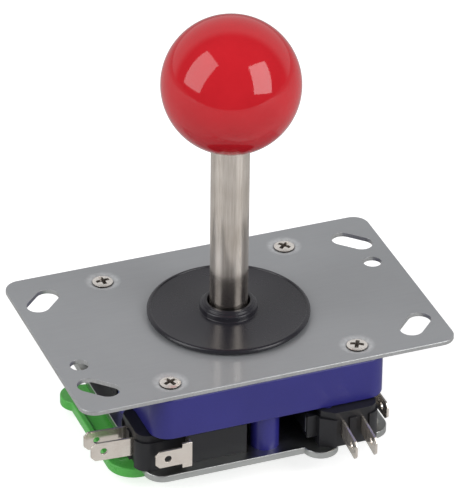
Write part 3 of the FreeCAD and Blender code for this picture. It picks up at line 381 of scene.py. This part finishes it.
# Natural acetal and nylon of the inner pieces: milky and smooth.
ACETAL_NATURAL = Finish("natural_acetal", "E9E6DE", "DFDCD3", 0.0, 0.35, 0.04,
                        grain_mm=0.6, patch_mm=8.0)
ACETAL_BLACK = Finish("moulded_acetal_black", "2C2C31", "25252A", 0.0, 0.32, 0.05,
                      grain_mm=0.6, patch_mm=8.0)
ACETAL_RED = Finish("moulded_acetal_red", "B23A34", "A5332E", 0.0, 0.3, 0.05,
                    grain_mm=0.6, patch_mm=5.0)


# Mesh helpers

def finished(name: str, mesh: bmesh.types.BMesh, finish: Finish, flat_faces: bool = False
             ) -> bpy.types.Object:
    """Turn a bmesh into a smooth-shaded object with its material.

    Args:
        name: The piece's name.
        mesh: The bmesh, which is freed here.
        finish: The piece's material.
        flat_faces: Whether large flat faces keep their own normals beside rounded edges.

    Returns:
        The new object.
    """
    data = bpy.data.meshes.new(name)
    mesh.to_mesh(data)
    mesh.free()
    data.shade_smooth()
    data.set_sharp_from_angle(angle=math.radians(SHARP_DEG))
    data.materials.append(finish.material())
    piece = bpy.data.objects.new(name, data)
    bpy.context.scene.collection.objects.link(piece)
    if flat_faces:
        weighted = piece.modifiers.new("FaceNormals", "WEIGHTED_NORMAL")
        weighted.keep_sharp = True
    return piece


def turned(corners: Sequence[tuple[float, float, float]], steps: int = 128,
           segments: int = 4) -> bmesh.types.BMesh:
    """Turn a half profile about the shaft's axis.

    Args:
        corners: Radius, height and easing of each corner, in millimetres.
        steps: Facets round the axis.
        segments: Facets in each eased corner.

    Returns:
        The turned shape.
    """
    mesh = bmesh.new()
    spots = [mesh.verts.new((radius * MM, 0, height * MM)) for radius, height, _ in corners]
    for first, second in zip(spots, spots[1:]):
        mesh.edges.new((first, second))
    for spot, (_, _, easing) in zip(spots, corners):
        if easing:
            bmesh.ops.bevel(mesh, geom=[spot], offset=easing * MM, segments=segments, profile=0.5,
                            affect="VERTICES", material=-1)
    return swept(mesh, steps)


def swept(mesh: bmesh.types.BMesh, steps: int) -> bmesh.types.BMesh:
    """Spin a bmesh's profile a full turn about the shaft's axis and close its poles.

    Args:
        mesh: The profile, which is changed.
        steps: Facets round the axis.

    Returns:
        The same bmesh, with its normals pointing outwards.
    """
    bmesh.ops.spin(mesh, geom=mesh.verts[:] + mesh.edges[:], cent=(0, 0, 0), axis=(0, 0, 1),
                   angle=math.tau, steps=steps, use_merge=True, use_duplicate=False)
    bmesh.ops.remove_doubles(mesh, verts=mesh.verts[:], dist=1e-7)
    bmesh.ops.recalc_face_normals(mesh, faces=mesh.faces[:])
    return mesh


def round_edges(mesh: bmesh.types.BMesh, width_mm: float, segments: int = 2,
                least_deg: float = 35.0, most_deg: float = 180.0) -> None:
    """Round the edges of a shape that turn by an angle between two limits.

    Args:
        mesh: The shape, which is changed.
        width_mm: The width of the rounding on each side.
        segments: Facets across the rounding.
        least_deg: The least angle between the faces.
        most_deg: The largest angle between the faces.
    """
    turning = [edge for edge in mesh.edges if len(edge.link_faces) == 2
               and least_deg < math.degrees(edge.calc_face_angle()) < most_deg]
    bmesh.ops.bevel(mesh, geom=turning, offset=width_mm * MM, segments=segments, profile=0.5,
                    affect="EDGES", clamp_overlap=True, material=-1)


def gathered(shapes: Sequence[bmesh.types.BMesh], spots: Sequence[tuple[float, float]],
             turns_deg: Sequence[float]) -> bmesh.types.BMesh:
    """Turn shapes about their own axes, move them to their places and join them in one bmesh.

    Args:
        shapes: The shapes, which are freed here.
        spots: Each shape's place on the plate, in millimetres.
        turns_deg: Each shape's turn about its upright axis.

    Returns:
        The joined shapes.
    """
    whole = bmesh.new()
    for shape, (x, y), turn in zip(shapes, spots, turns_deg):
        data = bpy.data.meshes.new("part")
        shape.transform(Matrix.Translation((x * MM, y * MM, 0))
                        @ Matrix.Rotation(math.radians(turn), 4, "Z"))
        shape.to_mesh(data)
        shape.free()
        whole.from_mesh(data)
        bpy.data.meshes.remove(data)
    return whole


def carved(solid: bmesh.types.BMesh, cutter: bmesh.types.BMesh, edge_mm: float = 0.05
           ) -> bmesh.types.BMesh:
    """Cut one bmesh out of another and ease the cut's edges.

    Args:
        solid: The shape that is cut, which is freed here.
        cutter: The shape that is taken away, which is freed here.
        edge_mm: The width of the easing.

    Returns:
        The cut shape.
    """
    items = []
    for label, shape in (("solid", solid), ("cutter", cutter)):
        data = bpy.data.meshes.new(label)
        bmesh.ops.recalc_face_normals(shape, faces=shape.faces[:])
        shape.to_mesh(data)
        shape.free()
        items.append(bpy.data.objects.new(label, data))
        bpy.context.scene.collection.objects.link(items[-1])
    cut = items[0].modifiers.new("Cut", "BOOLEAN")
    cut.operation, cut.solver, cut.object = "DIFFERENCE", "EXACT", items[1]
    result = bpy.data.meshes.new_from_object(items[0].evaluated_get(
        bpy.context.evaluated_depsgraph_get()))
    mesh = bmesh.new()
    mesh.from_mesh(result)
    for item in items:
        data = item.data
        bpy.data.objects.remove(item)
        bpy.data.meshes.remove(data)
    bpy.data.meshes.remove(result)
    bmesh.ops.remove_doubles(mesh, verts=mesh.verts[:], dist=SAME_POINT)
    round_edges(mesh, edge_mm)
    return mesh


@dataclass
class Assembly:
    """A group of pieces that are made and put on their bodies together.

    nodes are the frame's CAD objects by name. The sizes in the classes below are in millimetres,
    and each field that ends in edge is the width of the easing on a piece's sharp edges.
    """

    nodes: dict[str, bpy.types.Object]

    def put(self, piece: bpy.types.Object, body: str, node: str, slot: str) -> None:
        """Let a piece stand for its CAD node on the node's body.

        Args:
            piece: The finished piece.
            body: The body that it rides on.
            node: The CAD node that it replaces.
            slot: The record's material slot. It is not used.
        """
        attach(piece, body)
        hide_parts(node)
        LOG.info("made %s on %s", piece.name, body)

    def eased(self, node: str, finish: Finish, edge_mm: float, segments: int = 2
              ) -> bpy.types.Object:
        """Copy a CAD node and ease its sharp edges, as moulding or tumbling leaves them.

        Args:
            node: The CAD node.
            finish: The piece's material.
            edge_mm: The width of the easing.
            segments: Facets across the easing.

        Returns:
            The new piece.
        """
        mesh = self.merged(node)
        round_edges(mesh, edge_mm, segments)
        return finished(node + "_piece", mesh, finish, flat_faces=True)

    def merged(self, node: str) -> bmesh.types.BMesh:
        """Copy a CAD node's mesh, with its loose triangles joined into whole faces.

        Args:
            node: The CAD node.

        Returns:
            The copy.
        """
        mesh = bmesh.new()
        mesh.from_mesh(self.nodes[node].data)
        bmesh.ops.remove_doubles(mesh, verts=mesh.verts[:], dist=SAME_POINT)
        bmesh.ops.dissolve_limit(mesh, angle_limit=math.radians(FLAT_DEG), verts=mesh.verts[:],
                                 edges=mesh.edges[:])
        return mesh

    def dress(self, node: str, finish: Finish) -> None:
        """Give a CAD node that stays in view its material.

        Args:
            node: The CAD node.
            finish: Its material.
        """
        data = self.nodes[node].data
        data.materials.clear()
        data.materials.append(finish.material())
        LOG.info("dressed %s", node)


@dataclass
class Stick(Assembly):
    """The ball top, the shaft and the clip at its lower end.

    The flat is the face under the ball that sits on the shaft, the hole is the ball's bore for
    the shaft's stud, the room is the clip's play in its groove, and the tail is the hollow in the
    shaft's lower end.
    """

    ball_radius: float = 17.5
    ball_height: float = 66.5
    flat_radius: float = 5.6
    hole_radius: float = 3.05
    hole_depth: float = 13.9
    shaft_radius: float = 4.9
    stud_radius: float = 2.95
    journal_radius: float = 3.5
    pivot_radius: float = 6.2
    pivot_depth: float = 7.0
    clip_depth: float = 0.7
    clip_room: float = 0.05
    tail_radius: float = 0.6
    tail_depth: float = 1.3
    clip_edge: float = 0.06
    ball_steps: int = 144

    def flat_height(self) -> float:
        """Work out how high the ball's lower flat lies over the plate."""
        return self.ball_height - math.sqrt(self.ball_radius ** 2 - self.flat_radius ** 2)

    def ball(self) -> bpy.types.Object:
        """Make the ball: an arc from its lower flat to its crown, turned about the shaft.

        Returns:
            The ball with its blind hole.
        """
        mesh = bmesh.new()
        flat = self.flat_height()
        rim = mesh.verts.new((self.flat_radius * MM, 0, flat * MM))
        reach = math.pi / 2 + math.acos(self.flat_radius / self.ball_radius)
        bmesh.ops.spin(mesh, geom=[rim], cent=(0, 0, self.ball_height * MM), axis=(0, -1, 0),
                       angle=reach, steps=self.ball_steps // 2, use_duplicate=False)
        hole = mesh.verts.new((self.hole_radius * MM, 0, flat * MM))
        deep = mesh.verts.new((self.hole_radius * MM, 0, (flat + self.hole_depth) * MM))
        end = mesh.verts.new((0, 0, (flat + self.hole_depth) * MM))
        for pair in ((hole, rim), (hole, deep), (deep, end)):
            mesh.edges.new(pair)
        return finished("ball_top_piece", swept(mesh, self.ball_steps), PHENOLIC_RED)

    def stem(self) -> bpy.types.Object:
        """Turn the shaft from its lower end up: journal, clip groove, shoulder, stem and stud.

        Returns:
            The shaft.
        """
        low, high = (corner.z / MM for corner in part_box("shaft"))
        clip_low, clip_high = (corner.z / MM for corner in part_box("e_clip"))
        shoulder = math.sqrt(self.pivot_radius ** 2 - self.shaft_radius ** 2) - self.pivot_depth
        flat, journal, room = self.flat_height(), self.journal_radius, self.clip_room
        core, tail = journal - self.clip_depth, low + self.tail_depth
        mesh = turned([(0, tail, 0), (self.tail_radius, tail, 0), (self.tail_radius, low, 0.05),
                       (journal, low, 0.6), (journal, clip_low - room, 0),
                       (core, clip_low - room, 0), (core, clip_high + room, 0),
                       (journal, clip_high + room, 0), (journal, shoulder, 0),
                       (self.shaft_radius, shoulder, 0.2), (self.shaft_radius, flat, 0.15),
                       (self.stud_radius, flat, 0), (self.stud_radius, high, 0.4),
                       (0, high, 0)], steps=120)
        return finished("shaft_piece", mesh, TURNED_STEEL)

    def build(self) -> None:
        """Make and place the stick's pieces."""
        self.put(self.ball(), Body.STICK.value, "ball_top", "ball_red")
        self.put(self.stem(), Body.STICK.value, "shaft", "shaft_steel")
        self.put(self.eased("e_clip", BLACKENED_STEEL, self.clip_edge), Body.STICK.value,
                 "e_clip", "clip_steel")


@dataclass
class DustCover(Assembly):
    """The black washer on the plate and the thin guide washer under it.

    The groove is how far the washer's face lies under its rim, the foot is its play on the plate,
    and the bore widens by the lip at the top and by the flare at the bottom.
    """

    radius: float = 20.8
    thick: float = 1.75
    groove: float = 0.25
    collar_radius: float = 7.35
    collar_height: float = 4.0
    bore: float = 5.3
    flare: float = 0.45
    lip: float = 0.15
    foot: float = 0.1
    guide_edge: float = 0.1

    def washer(self) -> bpy.types.Object:
        """Turn the washer from its underside, round the rim and over the collar to the bore.

        Returns:
            The washer.
        """
        rim, top, low = self.radius, self.thick, self.thick - self.groove
        wall, crown, middle = self.collar_radius, self.collar_height, self.collar_height / 2
        foot, bore, wide = self.foot, self.bore, self.bore + self.lip
        underside = [(bore + self.flare, foot, 0), (rim - 1.0, foot, 0.2)]
        rounded_rim = [(rim - 0.2, 0.55, 0.2), (rim, 0.9, 0.12), (rim, 1.3, 0.2),
                       (rim - 0.45, top, 0.3), (rim - 0.95, top, 0.15)]
        sunk_face = [(rim - 1.1, low, 0.1), (wall + 0.1, low, 0.25)]
        stepped_collar = [(wall, crown - 1.0, 0.25), (wall - 0.6, crown - 0.75, 0.15),
                          (wall - 0.7, crown - 0.35, 0.2), (wall - 1.05, crown - 0.25, 0.08),
                          (wall - 1.1, crown, 0.12)]
        flared_bore = [(wide, crown, 0.2), (wide, crown - 0.6, 0.1),
                       (bore, middle + 0.45, 0.2), (bore, middle - 0.45, 0.2),
                       (bore + self.flare, foot, 0)]
        mesh = turned(underside + rounded_rim + sunk_face + stepped_collar + flared_bore,
                      steps=160)
        return finished("dust_washer_piece", mesh, NYLON_BLACK)

    def build(self) -> None:
        """Make and place the two washers."""
        self.put(self.washer(), Body.WASHER.value, "dust_washer", "washer_black")
        self.put(self.eased("guide_washer", ACETAL_NATURAL, self.guide_edge), Body.GUIDE.value,
                 "guide_washer", "guide_nylon")


@dataclass
class Mount(Assembly):
    """The fixing plate, its screws, the moulded body and the ball pivot inside it.

    The dimples' lips are rounded, which are the edges that turn by dimple_turn_deg. head_room is
    the room from a screw's axis to the screws' outermost point in the frame. Each corner of the
    heads' dome is a share of the head's radius, a share of its rise and an easing. The heads'
    turns are as the driver left them.
    """

    sheet_edge: float = 0.08
    dimple_round: float = 0.7
    dimple_turn_deg: tuple[float, float] = (8.0, 14.0)
    head_room: float = 2.9
    head_radius: float = 2.68
    rim_height: float = 0.26
    head_rise: float = 0.36
    dome: tuple[tuple[float, float, float], ...] = ((0.8, 0.55, 1.0), (0.45, 0.92, 0.8))
    shank_radius: float = 1.5
    tip_share: float = 0.6
    tip_length: float = 1.4
    sink: float = 0.8
    cross_width: float = 1.15
    cross_span: float = 4.1
    cross_depth: float = 1.5
    cross_taper: float = 0.42
    cross_clearance: float = 0.3
    head_turns_deg: tuple[float, ...] = (38.0, 4.0, 21.0, 62.0)
    body_edge: float = 0.25
    moulded_edge: float = 0.15
    liner_edge: float = 0.08

    def plate(self) -> bpy.types.Object:
        """Copy the plate, ease its edges, round its dimples' lips and brighten the sheared sides.

        Returns:
            The plate with two materials, for its faces and its sides.
        """
        mesh = self.merged("mounting_plate")
        round_edges(mesh, self.sheet_edge)
        round_edges(mesh, self.dimple_round, 4, *self.dimple_turn_deg)
        for face in mesh.faces:
            face.material_index = int(abs(face.normal.z) < SIDE_RISE)
        piece = finished("mounting_plate_piece", mesh, ZINC_SHEET, flat_faces=True)
        piece.data.materials.append(SHEARED_EDGE.material())
        return piece

    def head(self, low: float, high: float) -> bmesh.types.BMesh:
        """Turn one screw with its domed head, standing on the origin's axis.

        Args:
            low: The height of the screw's tip, in millimetres.
            high: The height of the plate's face at the head.

        Returns:
            The screw without its recess.
        """
        edge, rise, rim = self.head_radius, self.head_rise, high + self.rim_height
        shank = self.shank_radius
        dome = [(out * edge, rim + up * rise, easing) for out, up, easing in self.dome]
        return turned([(0, low, 0), (self.tip_share * shank, low, 0),
                       (shank, low + self.tip_length, 0), (shank, high - self.sink, 0),
                       (edge - 0.05, rim - 0.1, 0.03), (edge, rim, 0.06), *dome,
                       (0, rim + rise, 0)], steps=48)

    def cross(self, high: float) -> bmesh.types.BMesh:
        """Shape the tapered cross that the driver's recess is cut with.

        Args:
            high: The height of the plate's face at the head, in millimetres.

        Returns:
            The cross, standing on the origin's axis.
        """
        mesh = bmesh.new()
        crown = high + self.rim_height + self.head_rise
        width, top = self.cross_width * MM, (crown + self.cross_clearance) * MM
        bottom = (crown - self.cross_depth) * MM
        middle = (top + bottom) / 2
        bmesh.ops.create_cube(mesh, size=1.0, matrix=Matrix.Translation((0, 0, middle))
                              @ Matrix.Diagonal((width, width, top - bottom, 1.0)))
        for face in [face for face in mesh.faces if abs(face.normal.z) < SIDE_RISE]:
            away = face.normal * (self.cross_span * MM - width) / 2
            wing = bmesh.ops.extrude_discrete_faces(mesh, faces=[face])["faces"][0]
            bmesh.ops.translate(mesh, vec=away, verts=wing.verts[:])
        deep = [vert for vert in mesh.verts if vert.co.z < middle]
        bmesh.ops.scale(mesh, vec=(self.cross_taper, self.cross_taper, 1.0), verts=deep)
        return mesh

    def screws(self) -> bpy.types.Object:
        """Place the four screws, cut their recesses and paint shade onto these and the heads'
        flanks.

        Returns:
            The screws with two materials, for the heads' tops and the painted shade on the rest.
        """
        low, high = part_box("plate_screws")
        reach, level = high.x / MM - self.head_room, high.z / MM
        spots = [(reach, reach), (-reach, reach), (-reach, -reach), (reach, -reach)]
        screws = gathered([self.head(low.z / MM, level) for _ in spots], spots,
                          self.head_turns_deg)
        crosses = gathered([self.cross(level) for _ in spots], spots, self.head_turns_deg)
        mesh = carved(screws, crosses)
        # Faces that don't face up, the recess walls and the flanks, take the darker copy: painted
        # shade.
        for face in mesh.faces:
            face.material_index = int(face.normal.z < SIDE_RISE)
        piece = finished("plate_screws_piece", mesh, NICKEL, flat_faces=True)
        piece.data.materials.append(SHADED_NICKEL.material())
        return piece

    def build(self) -> None:
        """Make and place the fixed pieces above the switches, and the pivot."""
        base = Body.BASE.value
        self.put(self.plate(), base, "mounting_plate", "plate_zinc")
        self.put(self.screws(), base, "plate_screws", "screw_nickel")
        self.put(self.eased("body_housing", ABS_INDIGO, self.body_edge, 3), base,
                 "body_housing", "body_blue")
        self.put(self.eased("spring_seat", ACETAL_BLACK, self.moulded_edge), base,
                 "spring_seat", "seat_nylon")
        self.put(self.eased("pivot_liner", ACETAL_NATURAL, self.liner_edge), Body.LINER.value,
                 "pivot_liner", "liner_nylon")
        pivot = Body.PIVOT.value
        self.put(self.eased("pivot_ball", ACETAL_NATURAL, self.moulded_edge), pivot,
                 "pivot_ball", "pivot_nylon")
        self.put(self.eased("actuator", ACETAL_BLACK, self.moulded_edge), pivot, "actuator",
                 "actuator_black")
        self.dress("return_spring", SPRING_STEEL)


@dataclass
class Underside(Assembly):
    """The base plate, its screws and the turning gate."""

    base_edge: float = 0.15
    screw_edge: float = 0.08
    gate_edge: float = 0.3

    def build(self) -> None:
        """Make and place the pieces under the switches."""
        base = Body.BASE.value
        self.put(self.eased("bottom_plate", ZINC_BASE, self.base_edge), base, "bottom_plate",
                 "base_zinc")
        self.put(self.eased("bottom_screws", NICKEL, self.screw_edge), base, "bottom_screws",
                 "screw_nickel")
        self.put(self.eased("restrictor_gate", POLYPROPYLENE_GREEN, self.gate_edge, 3),
                 Body.GATE.value, "restrictor_gate", "gate_green")


@dataclass
class Microswitch(Assembly):
    """One lever microswitch with its three terminals."""

    side: Side
    case_edge: float = 0.15
    cover_edge: float = 0.2
    terminal_edge: float = 0.08
    lever_edge: float = 0.05
    plunger_edge: float = 0.08

    def build(self) -> None:
        """Make and place the switch's pieces."""
        side, base = self.side.value, Body.BASE.value
        self.put(self.eased(f"{side}_switch_case", PHENOLIC_BLACK, self.case_edge), base,
                 f"{side}_switch_case", "switch_black")
        self.put(self.eased(f"{side}_switch_cover", PHENOLIC_COVER, self.cover_edge), base,
                 f"{side}_switch_cover", "cover_black")
        for label in ("open", "closed", "common"):
            node = f"{side}_terminal_{label}"
            self.put(self.eased(node, TINNED_BRASS, self.terminal_edge), base, node,
                     "terminal_silver")
        self.put(self.eased(f"{side}_lever", TEMPERED_STRIP, self.lever_edge), f"{side}_lever",
                 f"{side}_lever", "lever_steel")
        self.put(self.eased(f"{side}_plunger", ACETAL_RED, self.plunger_edge),
                 f"{side}_plunger", f"{side}_plunger", "plunger_red")


@dataclass(frozen=True)
class SoftBox:
    """A rectangular studio lamp that faces the ball. Its lengths are in metres."""

    name: str
    direction: tuple[float, float, float]
    width: float
    height: float
    radiance: float
    roll_deg: float = 0.0
    distance: float = 0.8
    target: tuple[float, float, float] = (0.0, 0.0, 0.0665)

    def place(self) -> None:
        """Set the lamp up at its distance, with its power worked out from its radiance."""
        lamp = bpy.data.lights.new(self.name, "AREA")
        lamp.shape = "RECTANGLE"
        lamp.size, lamp.size_y = self.width, self.height
        lamp.energy = self.radiance * math.pi * self.width * self.height
        item = bpy.data.objects.new(self.name, lamp)
        away = Vector(self.direction).normalized()
        turn = away.to_track_quat("Z", "Y").to_matrix().to_4x4()
        item.matrix_world = (Matrix.Translation(Vector(self.target) + away * self.distance) @ turn
                             @ Matrix.Rotation(math.radians(self.roll_deg), 4, "Z"))
        bpy.context.scene.collection.objects.link(item)


@dataclass(frozen=True)
class Studio:
    """The pale floor, the light and the camera of the photograph.

    Places and lengths are in metres, and the camera's sensor is in millimetres. Gloss mirrors a
    bright backdrop behind the part and a darker room in front of it. room_way points into that
    room, and room_start says where it begins and is in full, as the cosine of the angle to
    room_way. table_way points along the floor to the front, where the mirrored floor ends at
    table_reach. glow_reach and bounce_reach are distances from the floor's middle, from where
    the floor's own light starts to change to where it has changed in full.
    """

    floor_height: float = -0.0308
    floor_radius: float = 6.0
    floor_paint: str = "C4C4C4"
    camera_place: tuple[float, float, float] = (-0.35239, -0.90533, 0.62136)
    camera_right: tuple[float, float, float] = (0.93416, -0.35671, 0.00983)
    camera_up: tuple[float, float, float] = (0.17988, 0.49449, 0.85037)
    focal_pixels: float = 4545.36
    frame_pixels: float = 488.0
    sensor: float = 36.0
    clip: tuple[float, float] = (0.05, 20.0)
    near_glow: float = 0.72
    glow_reach: tuple[float, float] = (0.15, 0.6)
    bounce_level: float = 0.32
    bounce_reach: tuple[float, float] = (0.075, 0.03)
    table_way: tuple[float, float, float] = (-0.36, -0.93, 0.0)
    table_reach: float = 0.42
    table_fade: float = 1.2
    room_way: tuple[float, float, float] = (-0.34, -0.90, 0.27)
    room_start: tuple[float, float] = (-0.42, -0.12)
    room_level: float = 0.1
    backdrop_level: float = 0.6
    fill_level: float = 0.46
    lamps: tuple[SoftBox, ...] = (
        SoftBox("left_lamp", (-0.84, -0.015, 0.543), width=0.53, height=0.82, radiance=2.8),
        SoftBox("right_lamp", (0.541, -0.709, 0.452), width=0.47, height=0.66, radiance=3.9,
                roll_deg=-17.0))

    def camera(self) -> None:
        """Stand the camera where the photograph was taken from."""
        data = bpy.data.cameras.new("camera")
        data.sensor_width = self.sensor
        data.lens = self.focal_pixels * self.sensor / self.frame_pixels
        data.clip_start, data.clip_end = self.clip
        item = bpy.data.objects.new("camera", data)
        right, up = Vector(self.camera_right), Vector(self.camera_up)
        turn = Matrix((right, up, right.cross(up))).transposed().to_4x4()
        item.matrix_world = Matrix.Translation(self.camera_place) @ turn
        bpy.context.scene.collection.objects.link(item)
        bpy.context.scene.camera = item

    def board(self) -> bpy.types.Material:
        """Paint the floor's board: pale, with the part's soft shadow.

        The camera sees the paint with a glow that brings it up to white further out. Matt and
        glossy surfaces get a soft bounce from the middle of the floor, so that the part's
        underside isn't black. Gloss sees the dark room past the table's edge, and the board is
        clear from below.

        Returns:
            The floor's material.
        """
        material = bpy.data.materials.new("painted_board_white")
        material.use_nodes = True
        tree = material.node_tree
        tree.nodes.clear()
        paint = add_node(tree, "ShaderNodeBsdfDiffuse", {"Color": linear(self.floor_paint)})
        rays = add_node(tree, "ShaderNodeLightPath")
        place = add_node(tree, "ShaderNodeTexCoord")
        span = add_node(tree, "ShaderNodeVectorMath", {"operation": "LENGTH"},
                        {0: place.outputs["Object"]})
        level = add_node(tree, "ShaderNodeMapRange",
                         {"From Min": self.glow_reach[0], "From Max": self.glow_reach[1],
                          "To Min": self.near_glow, "To Max": 1.0},
                         {"Value": span.outputs["Value"]})
        lift = add_node(tree, "ShaderNodeMath", {"operation": "MULTIPLY"},
                        {0: level.outputs["Result"], 1: rays.outputs["Is Camera Ray"]})
        under = add_node(tree, "ShaderNodeMapRange",
                         {"From Min": self.bounce_reach[0], "From Max": self.bounce_reach[1],
                          "To Max": self.bounce_level}, {"Value": span.outputs["Value"]})
        scattered = add_node(tree, "ShaderNodeMath", {"operation": "MAXIMUM"},
                             {0: rays.outputs["Is Diffuse Ray"],
                              1: rays.outputs["Is Glossy Ray"]})
        bounce = add_node(tree, "ShaderNodeMath", {"operation": "MULTIPLY_ADD"},
                          {0: under.outputs["Result"], 1: scattered.outputs[0],
                           2: lift.outputs[0]})
        glow = add_node(tree, "ShaderNodeEmission", {"Color": linear("FFFFFF")},
                        {"Strength": bounce.outputs[0]})
        table = add_node(tree, "ShaderNodeAddShader",
                         links={0: paint.outputs[0], 1: glow.outputs[0]})
        reach = add_node(tree, "ShaderNodeVectorMath",
                         {"operation": "DOT_PRODUCT", 1: self.table_way},
                         {0: place.outputs["Object"]})
        past_table = add_node(tree, "ShaderNodeMapRange",
                              {"From Min": self.table_reach,
                               "From Max": self.table_fade * self.table_reach},
                              {"Value": reach.outputs["Value"]})
        unlit = add_node(tree, "ShaderNodeMath", {"operation": "MULTIPLY"},
                         {0: past_table.outputs["Result"], 1: rays.outputs["Is Glossy Ray"]})
        room = add_node(tree, "ShaderNodeEmission",
                        {"Color": linear("FFFFFF"), "Strength": self.room_level})
        seen = add_node(tree, "ShaderNodeMixShader",
                        links={0: unlit.outputs[0], 1: table.outputs[0], 2: room.outputs[0]})
        clear = add_node(tree, "ShaderNodeBsdfTransparent")
        shape = add_node(tree, "ShaderNodeNewGeometry")
        one_way = add_node(tree, "ShaderNodeMixShader",
                           links={0: shape.outputs["Backfacing"], 1: seen.outputs[0],
                                  2: clear.outputs[0]})
        add_node(tree, "ShaderNodeOutputMaterial", links={"Surface": one_way.outputs[0]})
        return material

    def floor(self) -> None:
        """Lay the wide floor under the part."""
        mesh = bmesh.new()
        bmesh.ops.create_circle(mesh, cap_ends=True, segments=96, radius=self.floor_radius,
                                matrix=Matrix.Translation((0, 0, self.floor_height)))
        data = bpy.data.meshes.new("floor")
        mesh.to_mesh(data)
        mesh.free()
        data.materials.append(self.board())
        item = bpy.data.objects.new("floor", data)
        bpy.context.scene.collection.objects.link(item)

    def world(self) -> None:
        """Surround the part with plain light: white to the eye, and an even fill for matt faces.

        Gloss mirrors the bright backdrop behind the part and the darker room in front of it.
        """
        world = bpy.data.worlds.new("studio")
        bpy.context.scene.world = world
        world.use_nodes = True
        tree = world.node_tree
        tree.nodes.clear()
        place = add_node(tree, "ShaderNodeTexCoord")
        away = add_node(tree, "ShaderNodeVectorMath",
                        {"operation": "DOT_PRODUCT", 1: self.room_way},
                        {0: place.outputs["Generated"]})
        room = add_node(tree, "ShaderNodeMapRange",
                        {"From Min": self.room_start[0], "From Max": self.room_start[1],
                         "To Min": self.backdrop_level, "To Max": self.room_level,
                         "interpolation_type": "SMOOTHSTEP"}, {"Value": away.outputs["Value"]})
        rays = add_node(tree, "ShaderNodeLightPath")
        plain = add_node(tree, "ShaderNodeMix", {"data_type": "FLOAT", 2: self.fill_level},
                         {0: rays.outputs["Is Glossy Ray"], 3: room.outputs["Result"]})
        level = add_node(tree, "ShaderNodeMix", {"data_type": "FLOAT", 3: 1.0},
                         {0: rays.outputs["Is Camera Ray"], 2: plain.outputs[0]})
        light = add_node(tree, "ShaderNodeBackground", {"Color": linear("FFFFFF")},
                         {"Strength": level.outputs[0]})
        add_node(tree, "ShaderNodeOutputWorld", links={"Surface": light.outputs[0]})

    def build(self) -> None:
        """Set up the whole studio."""
        self.camera()
        self.floor()
        self.world()
        for lamp in self.lamps:
            lamp.place()
        bpy.context.scene.view_settings.view_transform = "Standard"
        LOG.info("set up the studio")


def main() -> None:
    """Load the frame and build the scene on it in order."""
    logging.basicConfig(level=logging.INFO, format="%(name)s: %(message)s")
    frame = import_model()
    Studio().build()
    nodes = frame["nodes"]
    assemblies: list[Assembly] = [Mount(nodes), DustCover(nodes), Stick(nodes), Underside(nodes)]
    assemblies += [Microswitch(nodes, side) for side in Side]
    for assembly in assemblies:
        assembly.build()


if __name__ == "__main__":
    main()
